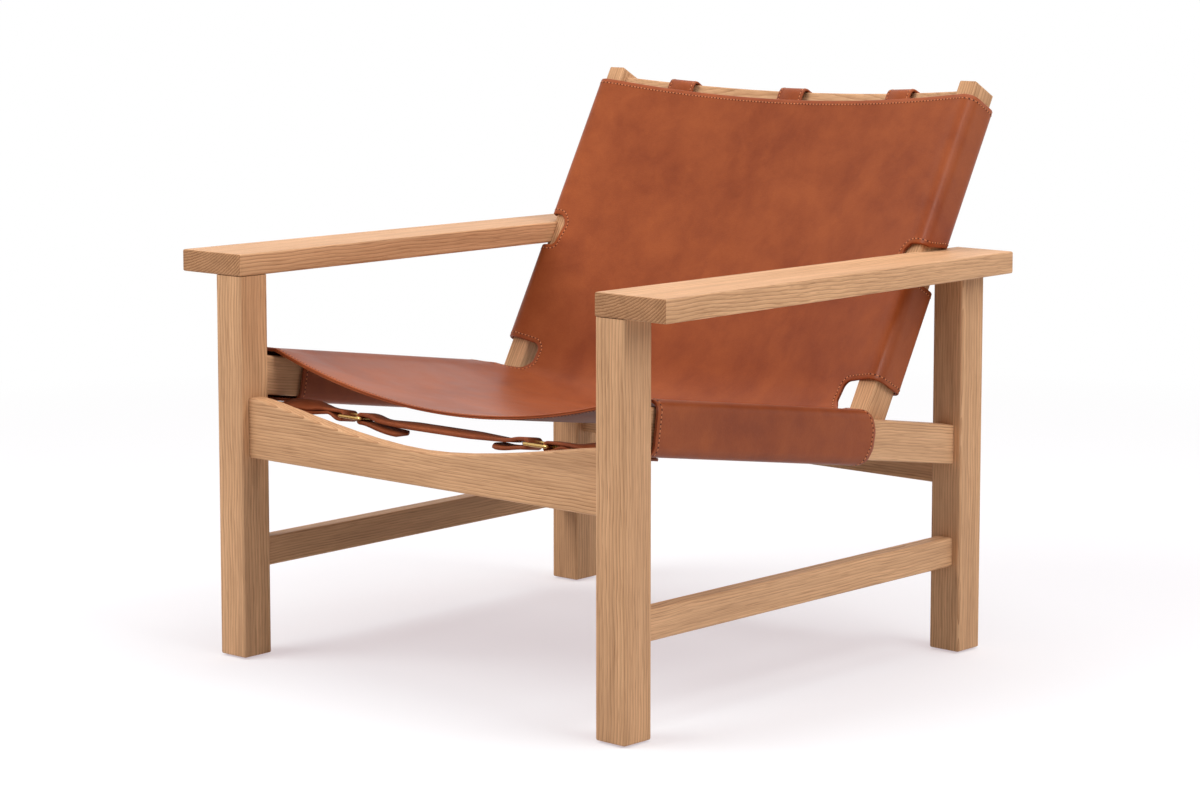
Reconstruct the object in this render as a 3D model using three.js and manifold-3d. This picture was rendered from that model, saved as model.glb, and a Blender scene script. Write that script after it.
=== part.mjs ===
import * as THREE from 'three';
import { mergeVertices } from 'three/addons/utils/BufferGeometryUtils.js';
import Module from 'manifold-3d';

const wasm = await Module();
wasm.setup();

// Lounge chair: an oak frame and a leather sling that is buckled round its rails and posts.
// Millimetres. X points to the sitter's left, the front faces -Y and Z is up.
// Each side of the frame is a flat panel, and both panels open a little towards the back.

// Fits
const fitGap = 0.3;
const shoulderGap = 0.35;

// Legs and glides
const legSide = 45;
const legLength = 479.3;
const legEdge = 3;
const legFootEdge = 2;
const legTenonSide = 22;
const legTenonLength = 14;
const glideHeight = 1.5;
const glideRadius = 15;
const glidePinRadius = 2;
const glidePinLength = 10;
const frontHalfWidth = 339.5;
const backHalfWidth = 348.9;
const sideDepth = 668.2;

// Arms
const armThickness = 27.7;
const armFrontOverhang = 60.2;
const armBackOverhang = 40;
const armBackEnd = 4;
const armCorner = 2;

// Rails and stretchers
const softEdge = 2.5;
const frontRailSetback = 12;
const frontRailThickness = 21.3;
const frontRailBottom = 254.3;
const frontRailTop = 329.5;
const frontRailHollow = 295.5;
const frontRailShoulder = 285;
const frontRailShoulderPull = 30;
const frontRailHollowPull = 110;
const frontTenonThickness = 9.5;
const frontTenonLength = 24;
const frontTenonBottom = 264;
const frontTenonTop = 316;
const rearRailFront = 303.5;
const rearRailThickness = 21.3;
const rearRailBottom = 211;
const rearRailTop = 271;
const rearTenonThickness = 9.5;
const rearTenonLength = 18;
const rearTenonBottom = 221;
const rearTenonTop = 262;
const seatRailSetback = 11;
const seatRailThickness = 27.5;
const seatRailFrontTop = 378.9;
const seatRailBackTop = 290.6;
const seatRailHeight = 49.7;
const seatTenonThickness = 10;
const seatTenonHeight = 30;
const seatTenonLength = 18;
const stretcherSetback = 10.9;
const stretcherThickness = 23;
const stretcherBottom = 110.6;
const stretcherTop = 147.2;
const stretcherTenonThickness = 10;
const stretcherTenonHeight = 22;
const stretcherTenonLength = 20;

// Back posts, crest rail and the screws that hold the posts
const lean = THREE.MathUtils.degToRad(29.07);
const postFootY = 130.4;
const postFootZ = 291;
const postWidth = 27.5;
const postDepth = 41.4;
const postLength = 487;
const postFootCover = 7;
const crestBottom = 418;
const crestTop = 478;
const crestThickness = 20;
const crestEndSetback = 10;
const crestMiddleSetback = 34;
const crestChordAdded = 2.1;
const crestOverlength = 20;
const crestTenonThickness = 10;
const crestTenonBottom = 429;
const crestTenonTop = 467;
const crestTenonLength = 16;
const screwAlong = 5;
const screwBack = 20.7;
const screwRadius = 3.5;
const screwLength = 48;
const screwHeadRadius = 8;
const screwHeadHeight = 3;
const screwHeadRim = 1;

// Leather
const slingThickness = 4;
const strapThickness = 4.5;
const strapWidth = 25;
const loopThickness = 3;
const loopWidth = 45;

// How the sling lies on rails and posts, measured to the middle of the leather
const wrapStand = 5.5;
const wrapCorner = 8;
const innerEdgeStand = 1.7;
const frontLift = 6.5;
const frontLiftDepth = 75;
const rearLift = 8;
const rearLiftDepth = 80;
const railFoldFront = 7.2;
const railFoldBack = 10;
const postFold = 5.8;
const flapInset = 22;
const railTuckEnd = 8;
const postTuckEnd = 15;

// Lines of the sling from front to back and up, in side view
const slingFront = -273.6;
const tuckStart = -228.5;
const seatBend = 85;
const backBend = 80;
const seatNotch = 124;
const seatNotchFold = 119;
const seatNotchBottom = 112;
const backNotch = 71;
const backNotchFold = 75;
const armNotchBottom = 210;
const armNotchInner = 246;
const armNotchFold = 256;
const armNotchSide = 260;
const armNotchRear = 278;
const armNotchTuck = 268;
const tuckEnd = 406;
const slingTopSide = 465.5;
const slingTopMiddle = 458.5;
const frontMiddleHeight = 335;
const middleBendY = 163.5;
const middleBendZ = 273.7;
const topMiddleSetback = 21;
const sideBendRadius = 20;
const middleBendRadius = 110;
const notchReach = 257;

// Crest loops
const loopSpacingShare = 0.66;
const loopTabTop = 455;
const loopTabBottom = 432;
const loopTailTop = 406;
const loopTailBottom = 386;
const loopCorner = 3;
const loopBend = 12;
const loopStand = 0.6;

// Straps and buckles
const seatAnchorInset = 25;
const seatStrapOverlap = 16;
const seatStrapDrop = 2.5;
const seatStrapPlace = -258;
const leftBuckle = -157.6;
const rightBuckle = 153.4;
const backStrapPositions = { lower: 140, upper: 335 };
const backAnchorInset = 40.2;
const backStrapOverlap = 20;
const backStrapDrop = 4;
const backBuckle = -70;
const buckleLength = 40;
const buckleBar = 4.5;
const buckleEdge = 1;
const buckleCorner = 6;
const buckleHoleCorner = 1.2;
const tongueWidth = 3.5;
const tongueWall = 1.9;
const tongueOverlap = 1.5;
const slotPlay = 0.5;
const slotRun = 3;
const foldRun = 26;
const doubledLength = 12;
const settleRun = 40;
const leftTailLength = 72;
const rightTailLength = 50;
const tailDrop = 12;

const edgeSteps = 2;
const turnSteps = 16;
const weld = 1e-4;

const oak = { color: 0xc89b73, roughness: 0.55, metalness: 0 };
const cognac = { color: 0xa05537, roughness: 0.45, metalness: 0 };
const strapBrown = { color: 0x6b3b26, roughness: 0.5, metalness: 0 };
const brass = { color: 0xc8a050, roughness: 0.3, metalness: 1 };
const steel = { color: 0x8d8f92, roughness: 0.35, metalness: 1 };
const darkNylon = { color: 0x2b2724, roughness: 0.7, metalness: 0 };

const chair = new THREE.Group();
chair.name = 'lounge_chair';

function addNode(parent, name, geometry, look) {
  const mesh = new THREE.Mesh(geometry, new THREE.MeshStandardMaterial(look));
  mesh.name = name;
  parent.add(mesh);
  return mesh;
}

function toSolid(geometry) {
  const bare = geometry.clone();
  bare.deleteAttribute('normal');
  bare.deleteAttribute('uv');
  const merged = mergeVertices(bare, weld);
  const triangles = [];
  for (let start = 0; start < merged.index.count; start += 3) {
    const [a, b, c] = merged.index.array.slice(start, start + 3);
    if (a !== b && b !== c && c !== a) {
      triangles.push(a, b, c);
    }
  }
  return new wasm.Manifold(new wasm.Mesh({
    numProp: 3,
    vertProperties: Float32Array.from(merged.attributes.position.array),
    triVerts: Uint32Array.from(triangles),
  }));
}

function toGeometry(solid) {
  const mesh = solid.getMesh();
  const geometry = new THREE.BufferGeometry();
  geometry.setAttribute('position', new THREE.BufferAttribute(Float32Array.from(mesh.vertProperties), 3));
  geometry.setIndex(new THREE.BufferAttribute(Uint32Array.from(mesh.triVerts), 1));
  geometry.computeVertexNormals();
  return geometry;
}

function joined(first, second) {
  return toGeometry(toSolid(first).add(toSolid(second)));
}

function without(body, tool) {
  return toGeometry(toSolid(body).subtract(toSolid(tool)));
}

function within(body, tool) {
  return toGeometry(toSolid(body).intersect(toSolid(tool)));
}

// Cuts a tool, given in its owner's frame, out of a node that may stand in another group.
function carve(target, tool, owner) {
  chair.updateMatrixWorld(true);
  const place = target.matrixWorld.clone().invert().multiply(owner.matrixWorld);
  target.geometry = without(target.geometry, tool.clone().applyMatrix4(place));
}

function block(fromX, toX, fromY, toY, fromZ, toZ) {
  const geometry = new THREE.BoxGeometry(Math.abs(toX - fromX), Math.abs(toY - fromY), Math.abs(toZ - fromZ));
  geometry.translate((fromX + toX) / 2, (fromY + toY) / 2, (fromZ + toZ) / 2);
  return geometry;
}

// A tenon given by its two corners. The same corners with some play give the mortise.
function tenon(low, high, play) {
  return block(low.x - play, high.x + play, low.y - play, high.y + play, low.z - play, high.z + play);
}

function roundedRectangle(width, height, radius) {
  const right = width / 2 - radius;
  const top = height / 2 - radius;
  const quarter = Math.PI / 2;
  const shape = new THREE.Shape();
  shape.moveTo(-right, -top - radius);
  shape.lineTo(right, -top - radius);
  shape.absarc(right, -top, radius, -quarter, 0);
  shape.absarc(right, top, radius, 0, quarter);
  shape.absarc(-right, top, radius, quarter, 2 * quarter);
  shape.absarc(-right, -top, radius, 2 * quarter, 3 * quarter);
  return shape;
}

// A board from its outline: softened along all edges, from 0 up to its thickness.
function board(outline, thickness, edge, curveSteps) {
  const geometry = new THREE.ExtrudeGeometry(outline, {
    depth: thickness - 2 * edge,
    bevelEnabled: true,
    bevelThickness: edge,
    bevelSize: edge,
    bevelOffset: -edge,
    bevelSegments: edgeSteps,
    curveSegments: curveSteps,
  });
  geometry.translate(0, 0, edge);
  return geometry;
}

// A straight member with softened long edges, from 0 up to its length.
function member(width, height, length, edge) {
  return new THREE.ExtrudeGeometry(roundedRectangle(width, height, edge), {
    depth: length,
    bevelEnabled: false,
    curveSegments: edgeSteps,
  });
}

const sideNames = { 1: 'left', '-1': 'right' };
const sides = [1, -1];
const midHalfWidth = (frontHalfWidth + backHalfWidth) / 2;
const flare = Math.asin((backHalfWidth - frontHalfWidth) / sideDepth);
const halfDepth = sideDepth / 2;
const legBottom = glideHeight + fitGap;
const legTop = legBottom + legLength;
const armBottom = legTop + fitGap;
const frontLegBack = -halfDepth + legSide;
const backLegFront = halfDepth - legSide;
const clearRun = backLegFront - frontLegBack - 2 * shoulderGap;
const railSlope = (seatRailBackTop - seatRailFrontTop) / (backLegFront - frontLegBack);
const railAngle = Math.atan(railSlope);
const railDepth = seatRailHeight * Math.cos(railAngle);
const railCentre = -seatRailSetback - seatRailThickness / 2;
const postOuter = -seatRailSetback - seatRailThickness - fitGap;
const postCentre = postOuter - postWidth / 2;

// The side panels turn outwards, which carries the inner edges of the posts back by this much.
const openingShift = (postWidth - postOuter) * Math.sin(flare);

function railTop(y) {
  return seatRailFrontTop + railSlope * (y - frontLegBack);
}

// The two side panels of the frame
const panels = {};
for (const side of sides) {
  const panel = new THREE.Group();
  panel.name = `side_${sideNames[side]}`;
  panel.position.x = side * midHalfWidth;
  panel.rotation.z = -side * flare;
  chair.add(panel);
  panels[side] = panel;
}
const backPlane = new THREE.Group();
backPlane.name = 'back_plane';
backPlane.position.set(0, postFootY + openingShift, postFootZ);
backPlane.rotation.x = -lean;
chair.add(backPlane);

// Legs with a stub tenon on top, and the nailed glides under them
function legGeometry() {
  const shaft = board(roundedRectangle(legSide, legSide, legEdge), legLength + legEdge, legFootEdge, edgeSteps);

  const half = legSide;
  const cutShaft = without(shaft, block(-half, half, -half, half, legLength, legLength + half));
  const stub = legTenonSide / 2;
  return joined(cutShaft, block(-stub, stub, -stub, stub, legLength - legEdge, legLength + legTenonLength));
}

function glideGeometry(play) {
  const pin = glidePinRadius + play;
  const top = glideHeight + fitGap + glidePinLength + play;
  const outline = [
    new THREE.Vector2(0, 0),
    new THREE.Vector2(glideRadius - glideHeight / 2, 0),
    new THREE.Vector2(glideRadius, glideHeight / 2),
    new THREE.Vector2(glideRadius, glideHeight),
    new THREE.Vector2(pin, glideHeight),
    new THREE.Vector2(pin, top),
    new THREE.Vector2(0, top),
  ];
  const geometry = new THREE.LatheGeometry(outline, turnSteps);
  geometry.rotateX(Math.PI / 2);
  return geometry;
}

const legs = {};
for (const side of sides) {
  for (const end of [-1, 1]) {
    const place = `${end < 0 ? 'front' : 'back'}_${sideNames[side]}`;
    const leg = addNode(panels[side], `leg_${place}`, legGeometry(), oak);
    leg.position.set(-side * legSide / 2, end * (halfDepth - legSide / 2), legBottom);
    legs[`${side},${end}`] = leg;
    const glide = addNode(panels[side], `glide_${place}`, glideGeometry(0), darkNylon);
    glide.position.set(leg.position.x, leg.position.y, 0);
    carve(leg, glideGeometry(fitGap), glide);
  }
}

// Sloping seat rails and level stretchers between the legs of one side
const seatRails = {};
for (const side of sides) {
  const slope = new THREE.Matrix4().set(1, 0, 0, 0, 0, 1, 0, 0, 0, railSlope, 1, 0, 0, 0, 0, 1);
  const body = member(seatRailThickness, seatRailHeight, clearRun, softEdge);
  body.rotateX(-Math.PI / 2);
  body.translate(0, -clearRun / 2, -seatRailHeight / 2);
  body.applyMatrix4(slope);
  const half = seatTenonThickness / 2;
  const reach = clearRun / 2 + seatTenonLength;
  const low = new THREE.Vector3(-half, -reach, -(seatRailHeight + seatTenonHeight) / 2);
  const high = new THREE.Vector3(half, reach, -(seatRailHeight - seatTenonHeight) / 2);
  const rail = addNode(panels[side], `seat_rail_${sideNames[side]}`,
    joined(body, tenon(low, high, 0).applyMatrix4(slope)), oak);
  rail.position.set(side * railCentre, 0, railTop(0));
  seatRails[side] = rail;

  const levelHeight = stretcherTop - stretcherBottom;
  const bar = member(stretcherThickness, levelHeight, clearRun, softEdge);
  bar.rotateX(-Math.PI / 2);
  bar.translate(0, -clearRun / 2, 0);
  const barHalf = stretcherTenonThickness / 2;
  const barReach = clearRun / 2 + stretcherTenonLength;
  const barLow = new THREE.Vector3(-barHalf, -barReach, -stretcherTenonHeight / 2);
  const barHigh = new THREE.Vector3(barHalf, barReach, stretcherTenonHeight / 2);
  const stretcher = addNode(panels[side], `stretcher_${sideNames[side]}`,
    joined(bar, tenon(barLow, barHigh, 0)), oak);
  stretcher.position.set(-side * (stretcherSetback + stretcherThickness / 2), 0,
    (stretcherBottom + stretcherTop) / 2);

  for (const end of [-1, 1]) {
    carve(legs[`${side},${end}`], tenon(low, high, fitGap).applyMatrix4(slope), rail);
    carve(legs[`${side},${end}`], tenon(barLow, barHigh, fitGap), stretcher);
  }
}

// Front rail with its hollowed top edge, standing between the front legs
function innerHalfWidth(y) {
  return midHalfWidth - legSide / Math.cos(flare) + y * Math.tan(flare);
}

const frontRailFace = -halfDepth + frontRailSetback;
const frontRailHalf = innerHalfWidth(frontRailFace) - shoulderGap;
function frontRailOutline() {
  const end = frontRailHalf + softEdge;
  const shape = new THREE.Shape();
  shape.moveTo(-end, frontRailBottom);
  shape.lineTo(end, frontRailBottom);
  shape.lineTo(end, frontRailTop);
  shape.lineTo(frontRailShoulder, frontRailTop);
  shape.bezierCurveTo(frontRailShoulder - frontRailShoulderPull, frontRailTop,
    frontRailHollowPull, frontRailHollow, 0, frontRailHollow);
  shape.bezierCurveTo(-frontRailHollowPull, frontRailHollow,
    -frontRailShoulder + frontRailShoulderPull, frontRailTop, -frontRailShoulder, frontRailTop);
  shape.lineTo(-end, frontRailTop);
  return shape;
}

function crossRail(name, outline, half, bottom, top, face, thickness, tenonHigh, tenonLow, tenonThickness,
  tenonLength, curveSteps) {
  const body = board(outline, thickness, softEdge, curveSteps);
  body.rotateX(Math.PI / 2);
  body.translate(0, thickness, 0);
  const trimmed = within(body, block(-half, half, -thickness, 2 * thickness, bottom, top));
  const inset = (thickness - tenonThickness) / 2;
  const low = new THREE.Vector3(half - softEdge, inset, tenonLow);
  const high = new THREE.Vector3(half + tenonLength, thickness - inset, tenonHigh);
  const turned = new THREE.Matrix4().makeTranslation(0, thickness, 0).multiply(
    new THREE.Matrix4().makeRotationZ(Math.PI));
  const bothEnds = (play) => joined(tenon(low, high, play), tenon(low, high, play).applyMatrix4(turned));
  const rail = addNode(chair, name, joined(trimmed, bothEnds(0)), oak);
  rail.position.y = face;
  return { rail, mortise: bothEnds(fitGap) };
}

const front = crossRail('front_rail', frontRailOutline(), frontRailHalf, frontRailBottom, frontRailTop,
  frontRailFace, frontRailThickness, frontTenonTop, frontTenonBottom, frontTenonThickness, frontTenonLength, 9);
const rearRailHalf = innerHalfWidth(rearRailFront) - shoulderGap;
const rearOutline = new THREE.Shape();
rearOutline.moveTo(-rearRailHalf - softEdge, rearRailBottom);
rearOutline.lineTo(rearRailHalf + softEdge, rearRailBottom);
rearOutline.lineTo(rearRailHalf + softEdge, rearRailTop);
rearOutline.lineTo(-rearRailHalf - softEdge, rearRailTop);
const rear = crossRail('rear_rail', rearOutline, rearRailHalf, rearRailBottom, rearRailTop,
  rearRailFront, rearRailThickness, rearTenonTop, rearTenonBottom, rearTenonThickness, rearTenonLength, 1);
for (const side of sides) {
  carve(legs[`${side},-1`], front.mortise, front.rail);
  carve(legs[`${side},1`], rear.mortise, rear.rail);
}

// Leaning back posts: flat boards standing against the inner faces of the seat rails
function alongBack(along, back) {
  return new THREE.Vector2(
    postFootY + along * Math.sin(lean) + back * Math.cos(lean),
    postFootZ + along * Math.cos(lean) - back * Math.sin(lean));
}

function footAlong(back) {
  const start = alongBack(0, back);
  const line = railTop(start.x) - seatRailHeight + postFootCover;
  return (line - start.y) / (Math.cos(lean) - railSlope * Math.sin(lean));
}

function postOutline(play, from, to) {
  const shape = new THREE.Shape();
  shape.moveTo(-play, from);
  shape.lineTo(postDepth + play, from);
  shape.lineTo(postDepth + play, to);
  shape.lineTo(-play, to);
  return shape;
}

function postGeometry() {
  const shape = new THREE.Shape();
  shape.moveTo(0, footAlong(0));
  shape.lineTo(postDepth, footAlong(postDepth));
  shape.lineTo(postDepth, postLength);
  shape.lineTo(0, postLength);
  return upright(board(shape, postWidth, softEdge, 1), postWidth);
}

// Turns a flat outline of back and along values into the post's frame.
function upright(geometry, width) {
  geometry.translate(0, 0, -width / 2);
  geometry.applyMatrix4(new THREE.Matrix4().set(0, 0, 1, 0, 1, 0, 0, 0, 0, 1, 0, 0, 0, 0, 0, 1));
  return geometry;
}

const posts = {};
for (const side of sides) {
  const post = addNode(panels[side], `back_post_${sideNames[side]}`, postGeometry(), oak);
  post.position.set(side * postCentre, postFootY, postFootZ);
  post.rotation.x = -lean;
  posts[side] = post;
}

// Arms: tapering planks, flush with the legs inside and housed round the posts
for (const side of sides) {
  const outline = new THREE.Shape();
  outline.moveTo(-side * legSide, -halfDepth);
  outline.lineTo(side * armFrontOverhang, -halfDepth);
  outline.lineTo(side * armBackOverhang, halfDepth + armBackEnd);
  outline.lineTo(-side * legSide, halfDepth + armBackEnd);
  const arm = addNode(panels[side], `arm_${sideNames[side]}`,
    board(outline, armThickness, armCorner, 1), oak);
  arm.position.z = armBottom;
  for (const end of [-1, 1]) {
    const half = legTenonSide / 2 + fitGap;
    const socket = block(-half, half, -half, half, legLength - fitGap, legLength + legTenonLength + fitGap);
    carve(arm, socket, legs[`${side},${end}`]);
  }
  const housing = new THREE.ExtrudeGeometry(postOutline(fitGap, 0, postLength),
    { depth: postWidth + 2 * fitGap, bevelEnabled: false });
  carve(arm, upright(housing, postWidth + 2 * fitGap), posts[side]);
}

// Crest rail: bowed backwards in plan and tenoned into both posts
const crestHalfChord = midHalfWidth + postOuter - postWidth + crestChordAdded;
const crestRise = crestMiddleSetback - crestEndSetback;
const crestRadius = (crestHalfChord ** 2 + crestRise ** 2) / (2 * crestRise);
function crestFace(x) {
  return crestMiddleSetback - crestRadius + Math.sqrt(crestRadius ** 2 - x ** 2);
}

function crestGeometry() {
  const reach = Math.asin((crestHalfChord + crestOverlength) / crestRadius);
  const middle = Math.PI / 2;
  const centre = crestMiddleSetback - crestRadius;
  const shape = new THREE.Shape();
  shape.absarc(0, centre, crestRadius + crestThickness, middle - reach, middle + reach);
  shape.absarc(0, centre, crestRadius, middle + reach, middle - reach, true);
  const geometry = board(shape, crestTop - crestBottom, softEdge, 8);
  geometry.translate(0, 0, crestBottom);
  return geometry;
}

const crest = addNode(backPlane, 'crest_rail', crestGeometry(), oak);
const crestBack = crestEndSetback + (crestThickness - crestTenonThickness) / 2;
for (const side of sides) {
  const face = -side * (postWidth / 2 + fitGap);
  const beyond = face + side * (crestOverlength + postWidth);
  carve(crest, block(face, beyond, -postDepth, 2 * postDepth, crestBottom - postWidth, crestTop + postWidth),
    posts[side]);
  const low = new THREE.Vector3(Math.min(face - side * softEdge, face + side * crestTenonLength), crestBack,
    crestTenonBottom);
  const high = new THREE.Vector3(Math.max(face - side * softEdge, face + side * crestTenonLength),
    crestBack + crestTenonThickness, crestTenonTop);
  chair.updateMatrixWorld(true);
  const place = crest.matrixWorld.clone().invert().multiply(posts[side].matrixWorld);
  crest.geometry = joined(crest.geometry, tenon(low, high, 0).applyMatrix4(place));
  carve(posts[side], tenon(low, high, fitGap), posts[side]);
}

// Screws that hold the posts: a domed head on the post's inner face, a shank into the seat rail
function screwGeometry(play) {
  const shank = screwRadius + play;
  const profile = [
    new THREE.Vector2(0, -screwLength - play),
    new THREE.Vector2(shank, -screwLength - play),
    new THREE.Vector2(shank, fitGap),
    new THREE.Vector2(screwHeadRadius, fitGap),
    new THREE.Vector2(screwHeadRadius, fitGap + screwHeadRim),
    new THREE.Vector2(screwHeadRadius / 2, screwHeadHeight),
    new THREE.Vector2(0, screwHeadHeight + fitGap),
  ];
  return new THREE.LatheGeometry(profile, turnSteps);
}

for (const side of sides) {
  const screw = addNode(posts[side], `post_screw_${sideNames[side]}`, screwGeometry(0), steel);
  screw.position.set(-side * postWidth / 2, screwBack, screwAlong);
  screw.rotation.z = side * Math.PI / 2;
  carve(posts[side], screwGeometry(fitGap), screw);
  carve(seatRails[side], screwGeometry(fitGap), screw);
}

// Side view of the sling: one line over the inner edges of rails and posts, one down its middle.
// Each is a straight run, a bend and a straight run.
function bentLine(start, corner, end, radius) {
  const first = corner.clone().sub(start).normalize();
  const second = end.clone().sub(corner).normalize();
  const turn = Math.acos(first.dot(second));
  const reach = radius * Math.tan(turn / 2);
  const inward = new THREE.Vector2(-first.y, first.x);
  const bendStart = corner.clone().addScaledVector(first, -reach);
  const centre = bendStart.clone().addScaledVector(inward, radius);
  const before = bendStart.distanceTo(start);
  return {
    before,
    bend: radius * turn,
    reach,
    at(distance) {
      if (distance < before) {
        return start.clone().addScaledVector(first, distance);
      }
      const angle = Math.min((distance - before) / radius, turn);
      const arm = bendStart.clone().sub(centre).rotateAround(new THREE.Vector2(), angle);
      const rest = Math.max(distance - before - radius * turn, 0);
      return centre.clone().add(arm).addScaledVector(second, rest);
    },
  };
}

const railUp = new THREE.Vector2(-Math.sin(railAngle), Math.cos(railAngle));
function aboveRail(y, height) {
  return new THREE.Vector2(y, railTop(y)).addScaledVector(railUp, height);
}

function crossing(startA, endA, startB, endB) {
  const a = endA.clone().sub(startA);
  const b = endB.clone().sub(startB);
  const share = startB.clone().sub(startA).cross(b) / a.cross(b);
  return startA.clone().addScaledVector(a, share);
}

const edgeFront = aboveRail(slingFront, innerEdgeStand);
const edgeTop = alongBack(slingTopSide, -innerEdgeStand);
const edgeCorner = crossing(edgeFront, aboveRail(0, innerEdgeStand), alongBack(0, -innerEdgeStand), edgeTop);
const edgeLine = bentLine(edgeFront, edgeCorner, edgeTop, sideBendRadius);
const middleLine = bentLine(new THREE.Vector2(slingFront, frontMiddleHeight),
  new THREE.Vector2(middleBendY, middleBendZ), alongBack(slingTopMiddle, topMiddleSetback), middleBendRadius);

const edgeSeatEnd = aboveRail(seatBend, innerEdgeStand).distanceTo(edgeFront);
const edgeBackStart = edgeLine.before + edgeLine.bend - edgeLine.reach
  + edgeCorner.distanceTo(alongBack(backBend, -innerEdgeStand));
const edgeEnd = edgeLine.before + edgeLine.bend - edgeLine.reach + edgeCorner.distanceTo(edgeTop);
const edgeSeatNotch = aboveRail(seatNotch, innerEdgeStand).distanceTo(edgeFront);
const edgeMiddle = edgeLine.before + edgeLine.bend / 2;
const edgeBackNotch = edgeEnd - (slingTopSide - backNotch);
const middleEnd = middleLine.before + middleLine.bend - middleLine.reach
  + new THREE.Vector2(middleBendY, middleBendZ).distanceTo(alongBack(slingTopMiddle, topMiddleSetback));

// Distance down the middle that belongs to a distance along the edge.
function middleDistance(edge) {
  const bendEnd = middleLine.before + middleLine.bend;
  if (edge < edgeSeatEnd) {
    return middleLine.before * edge / edgeSeatEnd;
  }
  if (edge < edgeBackStart) {
    return middleLine.before + middleLine.bend * (edge - edgeSeatEnd) / (edgeBackStart - edgeSeatEnd);
  }
  return bendEnd + (middleEnd - bendEnd) * (edge - edgeBackStart) / (edgeEnd - edgeBackStart);
}

function smooth(value) {
  const share = THREE.MathUtils.clamp(value, 0, 1);
  return share * share * (3 - 2 * share);
}

// The leather stands off the rail at its front corner and again where seat and back part.
function liftAt(edge) {
  const rear = smooth((edge - edgeSeatNotch + rearLiftDepth) / rearLiftDepth)
    * (1 - smooth((edge - edgeMiddle) / (edgeBackNotch - edgeMiddle)));
  return frontLift * (1 - smooth(edge / frontLiftDepth)) + rearLift * rear;
}

// Half of the distance between the inner edges of rails or posts at a point of the edge line.
function carrierHalfWidth(edge) {
  const y = edgeLine.at(edge).x;
  const wide = midHalfWidth - (seatRailSetback + seatRailThickness) / Math.cos(flare) + y * Math.tan(flare);
  const turned = smooth((edge - edgeSeatEnd) / (edgeBackStart - edgeSeatEnd));
  return wide - turned * (postWidth + fitGap);
}

function panelPoint(x, edge) {
  const side = edgeLine.at(edge);
  side.y += liftAt(edge);
  const middle = middleLine.at(middleDistance(edge));
  const share = (x / carrierHalfWidth(edge)) ** 2;
  const point = middle.lerp(side, share);
  return new THREE.Vector3(x, point.x + openingShift, point.y);
}

// Section of a wrap: from the inner top edge of its carrier out, down, under and up again inside.
function wrapSection(carrierOuter, width, depth, fold, tuck) {
  const inner = carrierOuter - width;
  const out = carrierOuter + wrapStand - wrapCorner;
  const near = inner - wrapStand + wrapCorner;
  const high = fold - wrapCorner;
  const low = -depth - wrapStand + wrapCorner;
  const skew = wrapCorner * Math.SQRT1_2;
  return [
    new THREE.Vector2(inner, innerEdgeStand),
    new THREE.Vector2(out, high + wrapCorner),
    new THREE.Vector2(out + skew, high + skew),
    new THREE.Vector2(out + wrapCorner, high),
    new THREE.Vector2(out + wrapCorner, low),
    new THREE.Vector2(out + skew, low - skew),
    new THREE.Vector2(out, low - wrapCorner),
    new THREE.Vector2(near, low - wrapCorner),
    new THREE.Vector2(near - skew, low - skew),
    new THREE.Vector2(near - wrapCorner, low),
    new THREE.Vector2(near - wrapCorner, -tuck),
  ];
}

const innerTuckColumn = 8;
const wrapColumns = 11;

function wrapPoint(side, row, column) {
  const slot = column - 1;
  let flat;
  let place;
  if (row.seat) {
    const share = (row.station - slingFront) / (seatNotch - slingFront);
    const fold = THREE.MathUtils.lerp(railFoldFront, railFoldBack, share);
    flat = wrapSection(-seatRailSetback, seatRailThickness, railDepth, fold, railTuckEnd)[slot];
    place = aboveRail(row.shifts ? row.shifts[slot] : row.station, flat.y);
    place.y += column === 1 ? liftAt(row.edge) : 0;
  } else {
    flat = wrapSection(postOuter, postWidth, postDepth, postFold, postTuckEnd)[slot];
    place = alongBack(row.shifts ? row.shifts[slot] : row.station, -flat.y);
  }
  return new THREE.Vector3(side * flat.x, place.x, place.y).applyMatrix4(panels[side].matrixWorld);
}

// Edge distances of the rows, and where the cut-outs begin and end
function seatRow(station, shifts) {
  return { seat: true, station, shifts, edge: aboveRail(station, innerEdgeStand).distanceTo(edgeFront) };
}

function backRow(station, shifts) {
  const edge = edgeEnd - (slingTopSide - station);
  return { seat: false, station, shifts, edge };
}

function spread(from, to, count) {
  return Array.from({ length: count }, (_, index) => THREE.MathUtils.lerp(from, to, (index + 1) / count));
}

const seatEndShifts = [seatNotch, seatNotchFold, seatNotchFold, seatNotchFold, seatNotchFold,
  seatNotchBottom, seatNotchBottom, seatNotchBottom, seatNotchBottom, seatNotchBottom, seatNotchBottom];
const backStartShifts = [backNotch, backNotchFold, backNotchFold, backNotchFold, backNotchFold,
  backNotchFold, backNotchFold, backNotchFold, backNotchFold, backNotchFold, backNotchFold];
const armNotchShifts = [armNotchInner, armNotchFold, armNotchSide, armNotchSide, armNotchRear,
  armNotchRear, armNotchRear, armNotchRear, armNotchTuck, armNotchTuck, armNotchTuck];

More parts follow.
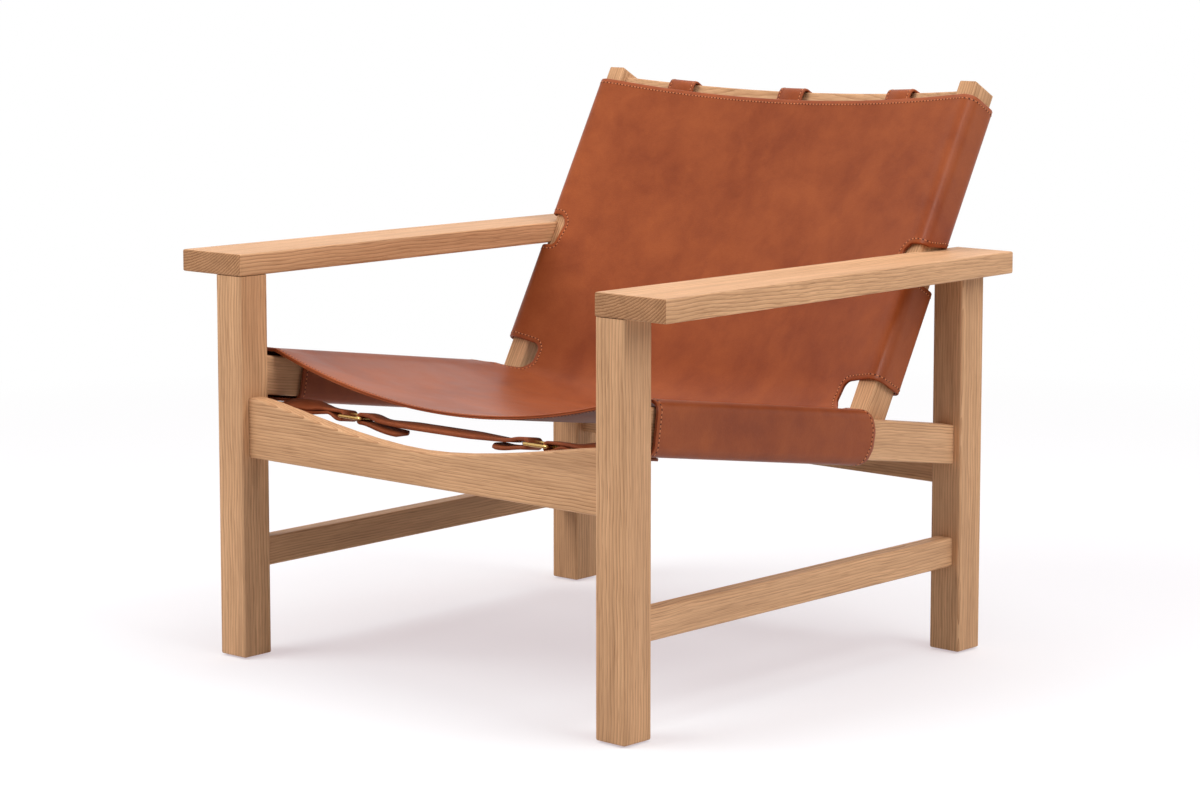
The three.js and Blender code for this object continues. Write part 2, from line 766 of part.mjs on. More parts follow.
const rows = [seatRow(slingFront), seatRow(tuckStart)];
rows.push(...spread(tuckStart, seatBend, 4).map((station) => seatRow(station)));
rows.push(seatRow((seatBend + seatNotchBottom) / 2));
const seatEnd = rows.length;
rows.push(seatRow(seatNotch, seatEndShifts));
const backStart = backRow(backNotch, backStartShifts);
rows[seatEnd].edge = edgeMiddle;
for (const edge of spread(rows[seatEnd].edge, backStart.edge, 4).slice(0, -1)) {
  rows.push({ turn: true, edge });
}
const backBegin = rows.length;
rows.push(backStart);
rows.push(...spread(backNotch, armNotchBottom, 3).map((station) => backRow(station)));
const armBegin = rows.length - 1;
rows.push(backRow(armNotchInner, armNotchShifts));
rows.push(backRow((armNotchRear + tuckEnd) / 2 - armThickness));
rows.push(...spread(rows[rows.length - 1].station, tuckEnd, 2).map((station) => backRow(station)));
const tuckFinish = rows.length - 1;
rows.push(backRow(slingTopSide));

function panelReach(index) {
  const regular = carrierHalfWidth(rows[index].edge) - flapInset;
  if (index < seatEnd || index > backBegin) {
    return regular;
  }
  const bow = Math.abs((index - seatEnd) / (backBegin - seatEnd) * 2 - 1) ** 3;
  return THREE.MathUtils.lerp(notchReach, Math.min(regular, notchReach + wrapCorner), bow);
}

const halfPanel = 6;
const halfColumns = halfPanel + wrapColumns;

function slingPoint(column, index) {
  const row = rows[index];
  const away = Math.abs(column);
  if (away <= halfPanel) {
    return panelPoint(column / halfPanel * panelReach(index), row.edge);
  }
  return row.turn ? new THREE.Vector3() : wrapPoint(Math.sign(column), row, away - halfPanel);
}

// Whether the leather covers the cell between two columns and two rows.
function covered(column, index) {
  const away = Math.max(Math.abs(column), Math.abs(column + 1)) - halfPanel;
  if (away <= 0) {
    return true;
  }
  if (index >= seatEnd && index < backBegin) {
    return false;
  }
  if (away > 1 && index === armBegin) {
    return false;
  }
  return away <= innerTuckColumn || (index > 0 && index < tuckFinish);
}

// A sheet of even thickness over the covered cells of a grid of points.
function sheetGeometry(pointAt, isCovered, fromColumn, toColumn, rowCount, thickness) {
  const width = toColumn - fromColumn + 1;
  const count = width * rowCount;
  const points = [];
  for (let row = 0; row < rowCount; row += 1) {
    for (let column = fromColumn; column <= toColumn; column += 1) {
      points.push(pointAt(column, row));
    }
  }
  const normals = points.map(() => new THREE.Vector3());
  const faces = [];
  const borders = new Map();
  for (let row = 0; row + 1 < rowCount; row += 1) {
    for (let column = fromColumn; column < toColumn; column += 1) {
      if (isCovered(column, row)) {
        const a = row * width + column - fromColumn;
        const corners = [a, a + 1, a + 1 + width, a + width];
        faces.push([corners[0], corners[1], corners[2]], [corners[0], corners[2], corners[3]]);
        corners.forEach((corner, index) => {
          const next = corners[(index + 1) % corners.length];
          if (borders.has(`${next},${corner}`)) {
            borders.delete(`${next},${corner}`);
          } else {
            borders.set(`${corner},${next}`, [corner, next]);
          }
        });
      }
    }
  }
  for (const [a, b, c] of faces) {
    const across = points[b].clone().sub(points[a]);
    const up = points[c].clone().sub(points[a]);
    const normal = across.cross(up).normalize();
    normals[a].add(normal);
    normals[b].add(normal);
    normals[c].add(normal);
  }
  const positions = [];
  for (const lift of [thickness / 2, -thickness / 2]) {
    points.forEach((point, index) => {
      const moved = point.clone().addScaledVector(normals[index].clone().normalize(), lift);
      positions.push(moved.x, moved.y, moved.z);
    });
  }
  const triangles = [];
  for (const [a, b, c] of faces) {
    triangles.push(a, b, c, a + count, c + count, b + count);
  }
  for (const [from, to] of borders.values()) {
    triangles.push(from, from + count, to + count, from, to + count, to);
  }
  const geometry = new THREE.BufferGeometry();
  geometry.setAttribute('position', new THREE.BufferAttribute(Float32Array.from(positions), 3));
  geometry.setIndex(triangles);
  return toGeometry(toSolid(geometry));
}

chair.updateMatrixWorld(true);
addNode(chair, 'leather_sling',
  sheetGeometry(slingPoint, covered, -halfColumns, halfColumns, rows.length, slingThickness), cognac);

// A band seen on its edge: even thickness along a path, extruded to its width.
function bandGeometry(path, steps, thickness, width) {
  const line = path.getPoints(steps).filter((point, index, all) => {
    return index === 0 || point.distanceTo(all[index - 1]) > weld;
  });
  const directions = line.slice(1).map((point, index) => point.clone().sub(line[index]).normalize());
  const above = [];
  const below = [];
  line.forEach((point, index) => {
    const before = directions[Math.max(index - 1, 0)];
    const after = directions[Math.min(index, directions.length - 1)];
    const along = before.clone().add(after).normalize();
    const stretch = thickness / 2 / along.dot(before);
    const aside = new THREE.Vector2(-along.y, along.x);
    above.push(point.clone().addScaledVector(aside, stretch));
    below.push(point.clone().addScaledVector(aside, -stretch));
  });
  const shape = new THREE.Shape(above.concat(below.reverse()));
  const geometry = new THREE.ExtrudeGeometry(shape, { depth: width, bevelEnabled: false });
  geometry.translate(0, 0, -width / 2);
  return geometry;
}

// Crest loops: from the back of the leather over the crest rail, down behind it and forward below it
function leatherBackAt(x, along) {
  const at = panelPoint(x, edgeEnd - (slingTopSide - along));
  const back = (at.y - backPlane.position.y) * Math.cos(lean) - (at.z - postFootZ) * Math.sin(lean);
  return back + slingThickness / 2 - crestFace(x);
}

function loopGeometry(x) {
  const away = fitGap + loopThickness / 2;
  const face = leatherBackAt(x, loopTabTop) + loopStand + loopThickness / 2;
  const tail = leatherBackAt(x, loopTailBottom) + loopStand + loopThickness / 2;
  const steer = (face - tail) / (loopTabTop - loopTailBottom);
  const top = crestTop + away;
  const bottom = crestBottom - away;
  const behind = crestThickness + away;
  const path = new THREE.Path();
  path.moveTo(face - steer * (loopTabTop - loopTabBottom), loopTabBottom);
  path.lineTo(face, loopTabTop);
  path.bezierCurveTo(face, loopTabTop + loopBend, -loopBend, top, 0, top);
  path.lineTo(behind - loopCorner, top);
  path.absarc(behind - loopCorner, top - loopCorner, loopCorner, Math.PI / 2, 0, true);
  path.lineTo(behind, bottom + loopCorner);
  path.absarc(behind - loopCorner, bottom + loopCorner, loopCorner, 0, -Math.PI / 2, true);
  path.lineTo(0, bottom);
  const turnIn = tail + steer * (loopTailTop - loopTailBottom);
  path.bezierCurveTo(-loopBend / 2, bottom, turnIn, bottom, turnIn, loopTailTop);
  path.lineTo(tail, loopTailBottom);
  return upright(bandGeometry(path, 4, loopThickness, loopWidth), 0);
}

const loopNames = { 0: 'centre', 1: 'left', '-1': 'right' };
for (const place of [-1, 0, 1]) {
  const x = place * loopSpacingShare * crestHalfChord;
  const loop = addNode(backPlane, `crest_loop_${loopNames[place]}`, loopGeometry(x), cognac);
  loop.position.set(x, crestFace(x), 0);
  loop.rotation.z = -Math.asin(x / crestRadius);
}

// Straps. A strap set lies flat: X across the chair, Z away from the leather's outer side.
const barReach = Math.hypot(buckleBar / 2, buckleBar / 2 - buckleEdge);
const foldRadius = barReach + fitGap + strapThickness / 2;
const buckleInside = strapWidth + 2 * slotPlay;
const barSpacing = buckleLength - buckleBar;
const tongueEye = barReach + fitGap + tongueWall;

function buckleFrame() {
  const shape = roundedRectangle(buckleLength, buckleInside + 2 * buckleBar, buckleCorner);
  shape.holes.push(roundedRectangle(buckleLength - 2 * buckleBar, buckleInside, buckleHoleCorner));
  const geometry = new THREE.ExtrudeGeometry(shape, {
    depth: buckleBar - 2 * buckleEdge,
    bevelEnabled: true,
    bevelThickness: buckleEdge,
    bevelSize: buckleEdge,
    bevelOffset: -buckleEdge,
    bevelSegments: 1,
    curveSegments: 1,
  });
  geometry.translate(0, 0, buckleEdge - buckleBar / 2);
  return geometry;
}

// The tongue turns on the outer bar and its end lies on the inner bar.
function buckleTongue() {
  const underside = buckleBar / 2 + fitGap;
  const start = Math.asin(underside / tongueEye);
  const shape = new THREE.Shape();
  shape.moveTo(barSpacing + tongueOverlap, underside);
  shape.lineTo(tongueEye * Math.cos(start), underside);
  shape.absarc(0, 0, tongueEye, start, -3 * Math.PI / 2, true);
  shape.lineTo(barSpacing + tongueOverlap, tongueEye);
  const eye = new THREE.Path();
  eye.absarc(0, 0, barReach + fitGap, 0, 2 * Math.PI);
  shape.holes.push(eye);
  const geometry = new THREE.ExtrudeGeometry(shape,
    { depth: tongueWidth, bevelEnabled: false, curveSegments: 6 });
  geometry.rotateX(Math.PI / 2);
  geometry.translate(-barSpacing / 2, tongueWidth / 2, 0);
  return geometry;
}

function strapBand(path) {
  const geometry = bandGeometry(path, 3, strapThickness, strapWidth);
  geometry.rotateX(Math.PI / 2);
  return geometry;
}

const slotHalf = tongueWidth / 2 + slotPlay;
const slotTop = foldRadius + strapThickness;

// A chape runs from its anchor at negative X to the bar at zero, round it and back under itself.
function chapeGeometry(length, overlap, drop) {
  const nextLayer = strapThickness + fitGap;
  const bend = new THREE.Vector2(-length + overlap, drop);
  const meet = new THREE.Vector2(-foldRun, foldRadius);
  const run = bend.clone().sub(meet).normalize();
  const under = meet.clone().add(new THREE.Vector2(run.y, -run.x).multiplyScalar(-nextLayer));
  const path = new THREE.Path();
  path.moveTo(-length, drop);
  path.lineTo(bend.x, bend.y);
  path.lineTo(meet.x, meet.y);
  path.lineTo(0, foldRadius);
  path.absarc(0, 0, foldRadius, Math.PI / 2, -Math.PI / 2, true);
  path.bezierCurveTo(-foldRun / 2, -foldRadius, -foldRun / 2, under.y, under.x, under.y);
  path.lineTo(under.x + run.x * doubledLength, under.y + run.y * doubledLength);
  const slot = block(-tongueEye - slotPlay, slotTop, -slotHalf, slotHalf, -slotTop, slotTop);
  return without(strapBand(path), slot);
}

// The slot that lets the tongue through a strap folded round the inner bar at x.
function strapSlot(x, inward) {
  return block(x - inward * slotTop, x + inward * slotRun, -slotHalf, slotHalf, slotPlay, slotTop);
}

function tailLine(path, x, inward, length) {
  path.bezierCurveTo(x + inward * length / 3, -foldRadius, x + inward * length / 2, -tailDrop,
    x + inward * length, -tailDrop);
}

// A strap that is folded round the inner bars of two buckles, with a free tail at each end
function centreStrap(left, right) {
  const path = new THREE.Path();
  path.moveTo(left + leftTailLength, -tailDrop);
  path.bezierCurveTo(left + leftTailLength / 2, -tailDrop, left + leftTailLength / 3, -foldRadius,
    left, -foldRadius);
  path.absarc(left, 0, foldRadius, -Math.PI / 2, -3 * Math.PI / 2, true);
  path.bezierCurveTo(left + settleRun / 2, foldRadius, left + settleRun / 2, 0, left + settleRun, 0);
  path.lineTo(right - settleRun, 0);
  path.bezierCurveTo(right - settleRun / 2, 0, right - settleRun / 2, foldRadius, right, foldRadius);
  path.absarc(right, 0, foldRadius, Math.PI / 2, -Math.PI / 2, true);
  tailLine(path, right, -1, rightTailLength);
  return without(without(strapBand(path), strapSlot(left, 1)), strapSlot(right, -1));
}

// A strap that comes from its own anchor at positive X and is folded round one inner bar
function longStrap(bar, anchor, overlap, drop) {
  const path = new THREE.Path();
  path.moveTo(bar + leftTailLength, -tailDrop);
  path.bezierCurveTo(bar + leftTailLength / 2, -tailDrop, bar + leftTailLength / 3, -foldRadius,
    bar, -foldRadius);
  path.absarc(bar, 0, foldRadius, -Math.PI / 2, -3 * Math.PI / 2, true);
  path.bezierCurveTo(bar + settleRun / 2, foldRadius, bar + settleRun / 2, 0, bar + settleRun, 0);
  path.lineTo(anchor - overlap, drop);
  path.lineTo(anchor, drop);
  return without(strapBand(path), strapSlot(bar, 1));
}

function addBuckle(set, name, x, turned, anchor, overlap, drop) {
  const buckle = new THREE.Group();
  buckle.name = `${name}_buckle`;
  buckle.position.x = x;
  buckle.rotation.z = turned ? Math.PI : 0;
  set.add(buckle);
  addNode(buckle, `${name}_frame`, buckleFrame(), brass);
  addNode(buckle, `${name}_tongue`, buckleTongue(), brass);
  const outerBar = Math.abs(x) + (x < 0 === turned ? -1 : 1) * barSpacing / 2;
  const chape = addNode(buckle, `${name}_chape`, chapeGeometry(anchor - outerBar, overlap, drop), strapBrown);
  chape.position.x = -barSpacing / 2;
}

const wrapBottom = -railDepth - wrapStand - slingThickness / 2;
const seatSet = new THREE.Group();
seatSet.name = 'seat_strap';
const seatSetPlace = aboveRail(seatStrapPlace, wrapBottom - fitGap - strapThickness / 2 - seatStrapDrop);
seatSet.position.set(0, seatSetPlace.x, seatSetPlace.y);
seatSet.rotation.x = railAngle;
chair.add(seatSet);
const seatAnchor = midHalfWidth - seatAnchorInset;
addBuckle(seatSet, 'seat_strap_right', leftBuckle, false, seatAnchor, seatStrapOverlap, seatStrapDrop);
addBuckle(seatSet, 'seat_strap_left', rightBuckle, true, seatAnchor, seatStrapOverlap, seatStrapDrop);
addNode(seatSet, 'seat_strap_centre',
  centreStrap(leftBuckle + barSpacing / 2, rightBuckle - barSpacing / 2), strapBrown);

const backAnchor = midHalfWidth - backAnchorInset;

for (const [name, along] of Object.entries(backStrapPositions)) {
  const set = new THREE.Group();
  set.name = `back_strap_${name}`;
  const behind = postDepth + wrapStand + slingThickness / 2 + fitGap + strapThickness / 2 + backStrapDrop;
  set.position.set(0, behind, along);
  set.rotation.x = Math.PI / 2;
  backPlane.add(set);
  addBuckle(set, set.name, backBuckle, false, backAnchor, backStrapOverlap, backStrapDrop);
  addNode(set, `${set.name}_long`,
    longStrap(backBuckle + barSpacing / 2, backAnchor, backStrapOverlap, backStrapDrop), strapBrown);
}

// The chair stands with the middle of its footprint at the origin.
chair.updateMatrixWorld(true);
const extent = new THREE.Box3().setFromObject(chair, true);
chair.position.y = -(extent.min.y + extent.max.y) / 2;
chair.updateMatrixWorld(true);

export default chair;
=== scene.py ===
"""Looks of the leather sling lounge chair: oiled oak, stitched saddle leather, buckled straps."""

import math

import bpy
import numpy as np
from mathutils import Matrix, Vector
from mathutils.geometry import delaunay_2d_cdt


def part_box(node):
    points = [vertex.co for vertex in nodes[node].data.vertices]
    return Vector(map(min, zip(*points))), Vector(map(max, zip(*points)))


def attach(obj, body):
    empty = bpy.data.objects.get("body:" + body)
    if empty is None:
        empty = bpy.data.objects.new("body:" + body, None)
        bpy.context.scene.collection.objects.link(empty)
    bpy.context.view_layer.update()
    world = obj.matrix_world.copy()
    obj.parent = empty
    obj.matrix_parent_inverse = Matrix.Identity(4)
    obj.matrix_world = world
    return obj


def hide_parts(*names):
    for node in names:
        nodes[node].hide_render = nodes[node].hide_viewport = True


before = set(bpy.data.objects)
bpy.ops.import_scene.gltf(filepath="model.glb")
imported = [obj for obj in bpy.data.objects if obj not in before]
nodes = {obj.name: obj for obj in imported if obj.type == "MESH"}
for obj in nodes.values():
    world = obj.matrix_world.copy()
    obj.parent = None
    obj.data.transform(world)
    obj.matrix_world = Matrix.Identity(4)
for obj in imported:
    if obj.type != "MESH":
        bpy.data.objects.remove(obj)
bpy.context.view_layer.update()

MM = 0.001

# Sizes of the CAD model, in millimetres and in the frame of its source, with the FIT between pieces
FIT = 0.3
LEG = 45.0
FRONT_HALF, BACK_HALF, DEPTH = 339.5, 348.9, 668.2
MID_HALF = (FRONT_HALF + BACK_HALF) / 2
FLARE = math.asin((BACK_HALF - FRONT_HALF) / DEPTH)
FRONT_RAIL_SETBACK = 12.0
RAIL_SETBACK, RAIL_THICK, RAIL_HEIGHT = 11.0, 27.5, 49.7
RAIL_FRONT_TOP, RAIL_BACK_TOP = 378.9, 290.6
RUN_FRONT, RUN_BACK = -DEPTH / 2 + LEG, DEPTH / 2 - LEG
SLOPE = (RAIL_BACK_TOP - RAIL_FRONT_TOP) / (RUN_BACK - RUN_FRONT)
SLOPE_ANGLE = math.atan(SLOPE)
RAIL_DEPTH = RAIL_HEIGHT * math.cos(SLOPE_ANGLE)
LEAN = math.radians(29.07)
FOOT_Y, FOOT_Z = 130.4, 291.0
POST_W, POST_D = 27.5, 41.4
POST_OUTER = -RAIL_SETBACK - RAIL_THICK - FIT
OPENING_SHIFT = (POST_W - POST_OUTER) * math.sin(FLARE)
CREST_TOP, CREST_BOTTOM, CREST_THICK = 478.0, 418.0, 20.0
CREST_END, CREST_MID, CREST_CHORD = 10.0, 34.0, 280.0
CREST_RADIUS = (CREST_CHORD ** 2 + (CREST_MID - CREST_END) ** 2) / (2 * (CREST_MID - CREST_END))

# The leather, to the middle of its two layers
STAND, CORNER, EDGE_STAND = 5.5, 12.0, 1.7
LIFT, LIFT_DEPTH = 6.5, 75.0
REAR_LIFT, REAR_LIFT_DEPTH = 8.0, 80.0
RAIL_FOLD_FRONT, RAIL_FOLD_BACK, POST_FOLD = 7.2, 10.0, 5.8
RAIL_TUCK, POST_TUCK = 8.0, 15.0
SLING_FRONT, SEAT_NOTCH, BACK_NOTCH = -273.6, 124.0, 71.0
SEAT_BEND, BACK_BEND = 85.0, 80.0
TOP_SIDE, TOP_MIDDLE, TOP_SETBACK = 465.5, 458.5, 21.0
FRONT_HEIGHT, BEND_Y, BEND_Z = 335.0, 163.5, 273.7
SIDE_RADIUS, MIDDLE_RADIUS = 20.0, 110.0
LEATHER = 4.0
STRAP, STRAP_WIDTH = 4.5, 25.0

# A wrap's first run: its extra length, and the share of its rise that is eased
RUN_EXTRA, RISE_EASE = 0.5, 0.35

# Stations of the cut leather: its tucks, the ends of its wraps and the cut-out for the arm
FRONT_TUCK, SEAT_WRAP_END, BACK_WRAP_START = -228.5, 106.0, 75.0
ARM_GAP_START, ARM_GAP_END, TOP_TUCK = 212.0, 266.0, 406.0

# How far the source's frame is moved to stand on the middle of its footprint
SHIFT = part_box("front_rail")[0].y / MM + DEPTH / 2 - FRONT_RAIL_SETBACK


def vec(*values):
    return np.array(values, float)


RAIL_UP = vec(-math.sin(SLOPE_ANGLE), math.cos(SLOPE_ANGLE))


def above_rail(y, height):
    return vec(y, RAIL_FRONT_TOP + SLOPE * (y - RUN_FRONT)) + RAIL_UP * height


def along_back(along, back):
    return vec(FOOT_Y + along * math.sin(LEAN) + back * math.cos(LEAN),
               FOOT_Z + along * math.cos(LEAN) - back * math.sin(LEAN))


def unit(vector):
    return vector / np.linalg.norm(vector)


def crossing(a0, a1, b0, b1):
    a, b, c = a1 - a0, b1 - b0, b0 - a0
    return a0 + a * (c[0] * b[1] - c[1] * b[0]) / (a[0] * b[1] - a[1] * b[0])


class BentLine:
    """A straight run, a bend and a straight run in side view."""

    def __init__(self, start, corner, end, radius):
        self.start, self.radius = start, radius
        self.first, self.second = unit(corner - start), unit(end - corner)
        self.turn = math.acos(float(self.first @ self.second))
        self.reach = radius * math.tan(self.turn / 2)
        self.bend_start = corner - self.first * self.reach
        self.centre = self.bend_start + vec(-self.first[1], self.first[0]) * radius
        self.before = float(np.linalg.norm(self.bend_start - start))
        self.bend = radius * self.turn
        self.length = self.before + self.bend - self.reach + float(np.linalg.norm(end - corner))

    def at(self, distance):
        if distance < self.before:
            return self.start + self.first * distance
        angle = min((distance - self.before) / self.radius, self.turn)
        arm = self.bend_start - self.centre
        c, s = math.cos(angle), math.sin(angle)
        turned = vec(arm[0] * c - arm[1] * s, arm[0] * s + arm[1] * c)
        return self.centre + turned + self.second * max(distance - self.before - self.bend, 0.0)


EDGE_FRONT = above_rail(SLING_FRONT, EDGE_STAND)
EDGE_TOP = along_back(TOP_SIDE, -EDGE_STAND)
EDGE_CORNER = crossing(EDGE_FRONT, above_rail(0, EDGE_STAND), along_back(0, -EDGE_STAND), EDGE_TOP)
EDGE = BentLine(EDGE_FRONT, EDGE_CORNER, EDGE_TOP, SIDE_RADIUS)
MIDDLE = BentLine(vec(SLING_FRONT, FRONT_HEIGHT), vec(BEND_Y, BEND_Z),
                  along_back(TOP_MIDDLE, TOP_SETBACK), MIDDLE_RADIUS)
SEAT_END = float(np.linalg.norm(above_rail(SEAT_BEND, EDGE_STAND) - EDGE_FRONT))
BACK_START = EDGE.before + EDGE.bend - EDGE.reach + float(
    np.linalg.norm(along_back(BACK_BEND, -EDGE_STAND) - EDGE_CORNER))
EDGE_END = EDGE.length
EDGE_SEAT_NOTCH = float(np.linalg.norm(above_rail(SEAT_NOTCH, EDGE_STAND) - EDGE_FRONT))
EDGE_MIDDLE = EDGE.before + EDGE.bend / 2
EDGE_BACK_NOTCH = EDGE_END - (TOP_SIDE - BACK_NOTCH)


def smooth(value):
    share = min(max(value, 0.0), 1.0)
    return share * share * (3 - 2 * share)


def middle_distance(edge):
    if edge < SEAT_END:
        return MIDDLE.before * edge / SEAT_END
    if edge < BACK_START:
        return MIDDLE.before + MIDDLE.bend * (edge - SEAT_END) / (BACK_START - SEAT_END)
    done = MIDDLE.before + MIDDLE.bend
    return done + (MIDDLE.length - done) * (edge - BACK_START) / (EDGE_END - BACK_START)


def lift_at(edge):
    """How far the leather stands off: at the front corner and where seat and back part."""
    rear = smooth((edge - EDGE_SEAT_NOTCH + REAR_LIFT_DEPTH) / REAR_LIFT_DEPTH)
    rear *= 1 - smooth((edge - EDGE_MIDDLE) / (EDGE_BACK_NOTCH - EDGE_MIDDLE))
    return LIFT * (1 - smooth(edge / LIFT_DEPTH)) + REAR_LIFT * rear


def carrier_half(edge):
    y = EDGE.at(edge)[0]
    wide = MID_HALF - (RAIL_SETBACK + RAIL_THICK) / math.cos(FLARE) + y * math.tan(FLARE)
    return wide - smooth((edge - SEAT_END) / (BACK_START - SEAT_END)) * (POST_W + FIT)


def panel_point(x, edge):
    side = EDGE.at(edge) + vec(0, lift_at(edge))
    middle = MIDDLE.at(middle_distance(edge))
    share = (x / carrier_half(edge)) ** 2
    y, z = middle + (side - middle) * share
    return vec(x, y + OPENING_SHIFT, z)


def side_to_frame(u, y, z):
    """A point of the left side panel, given from its outer face inwards, in the source's frame."""
    c, s = math.cos(-FLARE), math.sin(-FLARE)
    return vec(MID_HALF + u * c - y * s, u * s + y * c, z)


# What a wrap goes round, seat rail or post: outer face, width, depth and the wrap's tuck
CARRIERS = {True: (-RAIL_SETBACK, RAIL_THICK, RAIL_DEPTH, RAIL_TUCK),
            False: (POST_OUTER, POST_W, POST_D, POST_TUCK)}


def wrap_runs(seat):
    """Lengths of a wrap's runs: top, bend, outer face, bend, underside, bend, inner face."""
    _, width, depth, tuck = CARRIERS[seat]
    fold = (RAIL_FOLD_FRONT + RAIL_FOLD_BACK) / 2 if seat else POST_FOLD
    bend = CORNER * math.pi / 2
    return [width + STAND - CORNER + RUN_EXTRA, bend, fold + depth + STAND - 2 * CORNER, bend,
            width + 2 * STAND - 2 * CORNER, bend, depth + STAND - CORNER - tuck]


SEAT_RUNS, BACK_RUNS = wrap_runs(True), wrap_runs(False)
SEAT_STOPS, BACK_STOPS = np.cumsum([0] + SEAT_RUNS), np.cumsum([0] + BACK_RUNS)


def wrap_flat(distance, seat, fold):
    """The section of a wrap at a distance from its carrier's inner top edge."""
    outer, width, depth, tuck = CARRIERS[seat]
    stops = SEAT_STOPS if seat else BACK_STOPS
    inner = outer - width
    out, near = outer + STAND - CORNER, inner - STAND + CORNER
    high, low = fold - CORNER, -depth - STAND + CORNER
    part = min(int(np.searchsorted(stops, distance, side="right")) - 1, 6)
    share = (distance - stops[part]) / (stops[part + 1] - stops[part])
    turn = share * math.pi / 2
    if part == 0:
        rise = smooth(share) * RISE_EASE + share * (1 - RISE_EASE)
        return inner + (out - inner) * share, EDGE_STAND + (high + CORNER - EDGE_STAND) * rise
    if part == 1:
        return out + CORNER * math.sin(turn), high + CORNER * math.cos(turn)
    if part == 2:
        return out + CORNER, high + (low - high) * share
    if part == 3:
        return out + CORNER * math.cos(turn), low - CORNER * math.sin(turn)
    if part == 4:
        return out + (near - out) * share, low - CORNER
    if part == 5:
        return near - CORNER * math.sin(turn), low - CORNER * math.cos(turn)
    return near - CORNER, low + (-tuck - low) * share


def sling_point(u, v):
    """The middle of the leather: u across from the centre line, v along its side from the front."""
    half = carrier_half(v)
    side = 1 if u >= 0 else -1
    across = abs(u)
    seat = v < EDGE_MIDDLE
    if seat:
        station, stops = SLING_FRONT + v * math.cos(SLOPE_ANGLE), SEAT_STOPS
        share = (station - SLING_FRONT) / (SEAT_NOTCH - SLING_FRONT)
        fold = RAIL_FOLD_FRONT + (RAIL_FOLD_BACK - RAIL_FOLD_FRONT) * share
    else:
        station, stops, fold = TOP_SIDE - (EDGE_END - v), BACK_STOPS, POST_FOLD

    def off_carrier(height):
        return above_rail(station, height) if seat else along_back(station, -height)

    if across <= half:
        point = panel_point(across, v)
    else:
        inwards, height = wrap_flat(across - half, seat, fold)
        near = 1 - min((across - half) / stops[1], 1)
        lift = EDGE.at(v) - off_carrier(EDGE_STAND) + vec(0, lift_at(v))
        point = side_to_frame(inwards, *(off_carrier(height) + lift * near))
    return vec(side * point[0], point[1] + SHIFT, point[2])


def seat_v(y):
    return (y - SLING_FRONT) / math.cos(SLOPE_ANGLE)


def back_v(along):
    return EDGE_END - (TOP_SIDE - along)


def rounded(corners, step):
    """A closed outline with its corners rounded. Each corner is u, v and radius."""
    straight, nothing = math.pi - 0.02, 1e-6
    points = []
    count = len(corners)
    for index, (u, v, radius) in enumerate(corners):
        here = vec(u, v)
        before, after = vec(*corners[index - 1][:2]), vec(*corners[(index + 1) % count][:2])
        to_before, to_after = unit(before - here), unit(after - here)
        angle = math.acos(max(-1, min(1, float(to_before @ to_after))))
        if radius <= 0 or angle > straight:
            points.append(here)
            continue
        reach = radius / math.tan(angle / 2)
        centre = here + unit(to_before + to_after) * radius / math.sin(angle / 2)
        first, last = here + to_before * reach, here + to_after * reach
        start = math.atan2(*(first - centre)[::-1])
        turn = math.atan2(*(last - centre)[::-1]) - start
        turn = (turn + math.pi) % (2 * math.pi) - math.pi
        steps = max(2, int(abs(turn) * radius / step * 2) + 1)
        for k in range(steps + 1):
            a = start + turn * k / steps
            points.append(centre + radius * vec(math.cos(a), math.sin(a)))
    dense = []
    for index, point in enumerate(points):
        following = points[(index + 1) % len(points)]
        span = float(np.linalg.norm(following - point))
        if span < nothing:
            continue
        parts = max(1, int(round(span / step)))
        dense.extend(point + (following - point) * k / parts for k in range(parts))
    return dense


def half_outline():
    """The right-hand half of the cut leather, from the front centre to the top centre.

    A corner of a wrap is its station, its distance from the carrier's inner edge and its radius.
    """
    seat, back, middle = SEAT_STOPS, BACK_STOPS, EDGE_MIDDLE
    seat_wrap = [
        (SLING_FRONT, seat[5] - 4, 9), (FRONT_TUCK, seat[5] - 4, 8), (FRONT_TUCK + 3, seat[7], 8),
        (SEAT_WRAP_END, seat[7], 8), (SEAT_WRAP_END, seat[4], 14), (121.5, seat[3] - 8, 16),
        (123.0, seat[2] + 10, 16), (109.0, seat[1] - 2, 14), (120.0, 4.0, 26)]
    parting = [(267.0, middle - 2, 9), (258.0, middle + 13, 14), (259.0, back_v(BACK_NOTCH), 11)]
    lower_wrap = [(BACK_WRAP_START, back[1], 0), (BACK_WRAP_START, back[7], 8),
                  (ARM_GAP_START, back[7], 8), (ARM_GAP_START, back[1], 0)]
    arm_gap = [(ARM_GAP_START, 11.0, 8), (248.0, 4.0, 14), (258.0, 14.0, 10), (260.0, back[2], 12),
               (273.0, back[3] + 4, 12), (274.0, back[5], 10), (ARM_GAP_END, back[7], 8)]
    top = [(TOP_TUCK, back[7], 8), (TOP_TUCK, back[5] - 2, 6), (TOP_SIDE, back[5] - 2, 9)]

    def placed(corners, to_v):
        return [(carrier_half(to_v(at)) + w, to_v(at), radius) for at, w, radius in corners]

    return placed(seat_wrap, seat_v) + parting + placed(lower_wrap + arm_gap + top, back_v)


def full_outline(step):
    right = half_outline()
    left = [(-u, v, r) for u, v, r in reversed(right)]
    return rounded(right + left, step)


def lefts(path):
    """The direction to the left of a closed flat path, at each of its points."""
    for index in range(len(path)):
        along = unit(path[(index + 1) % len(path)] - path[index - 1])
        yield vec(-along[1], along[0])


def inset(outline, distance):
    """The outline moved inwards by a distance."""
    return [point + left * distance for point, left in zip(outline, lefts(outline))]


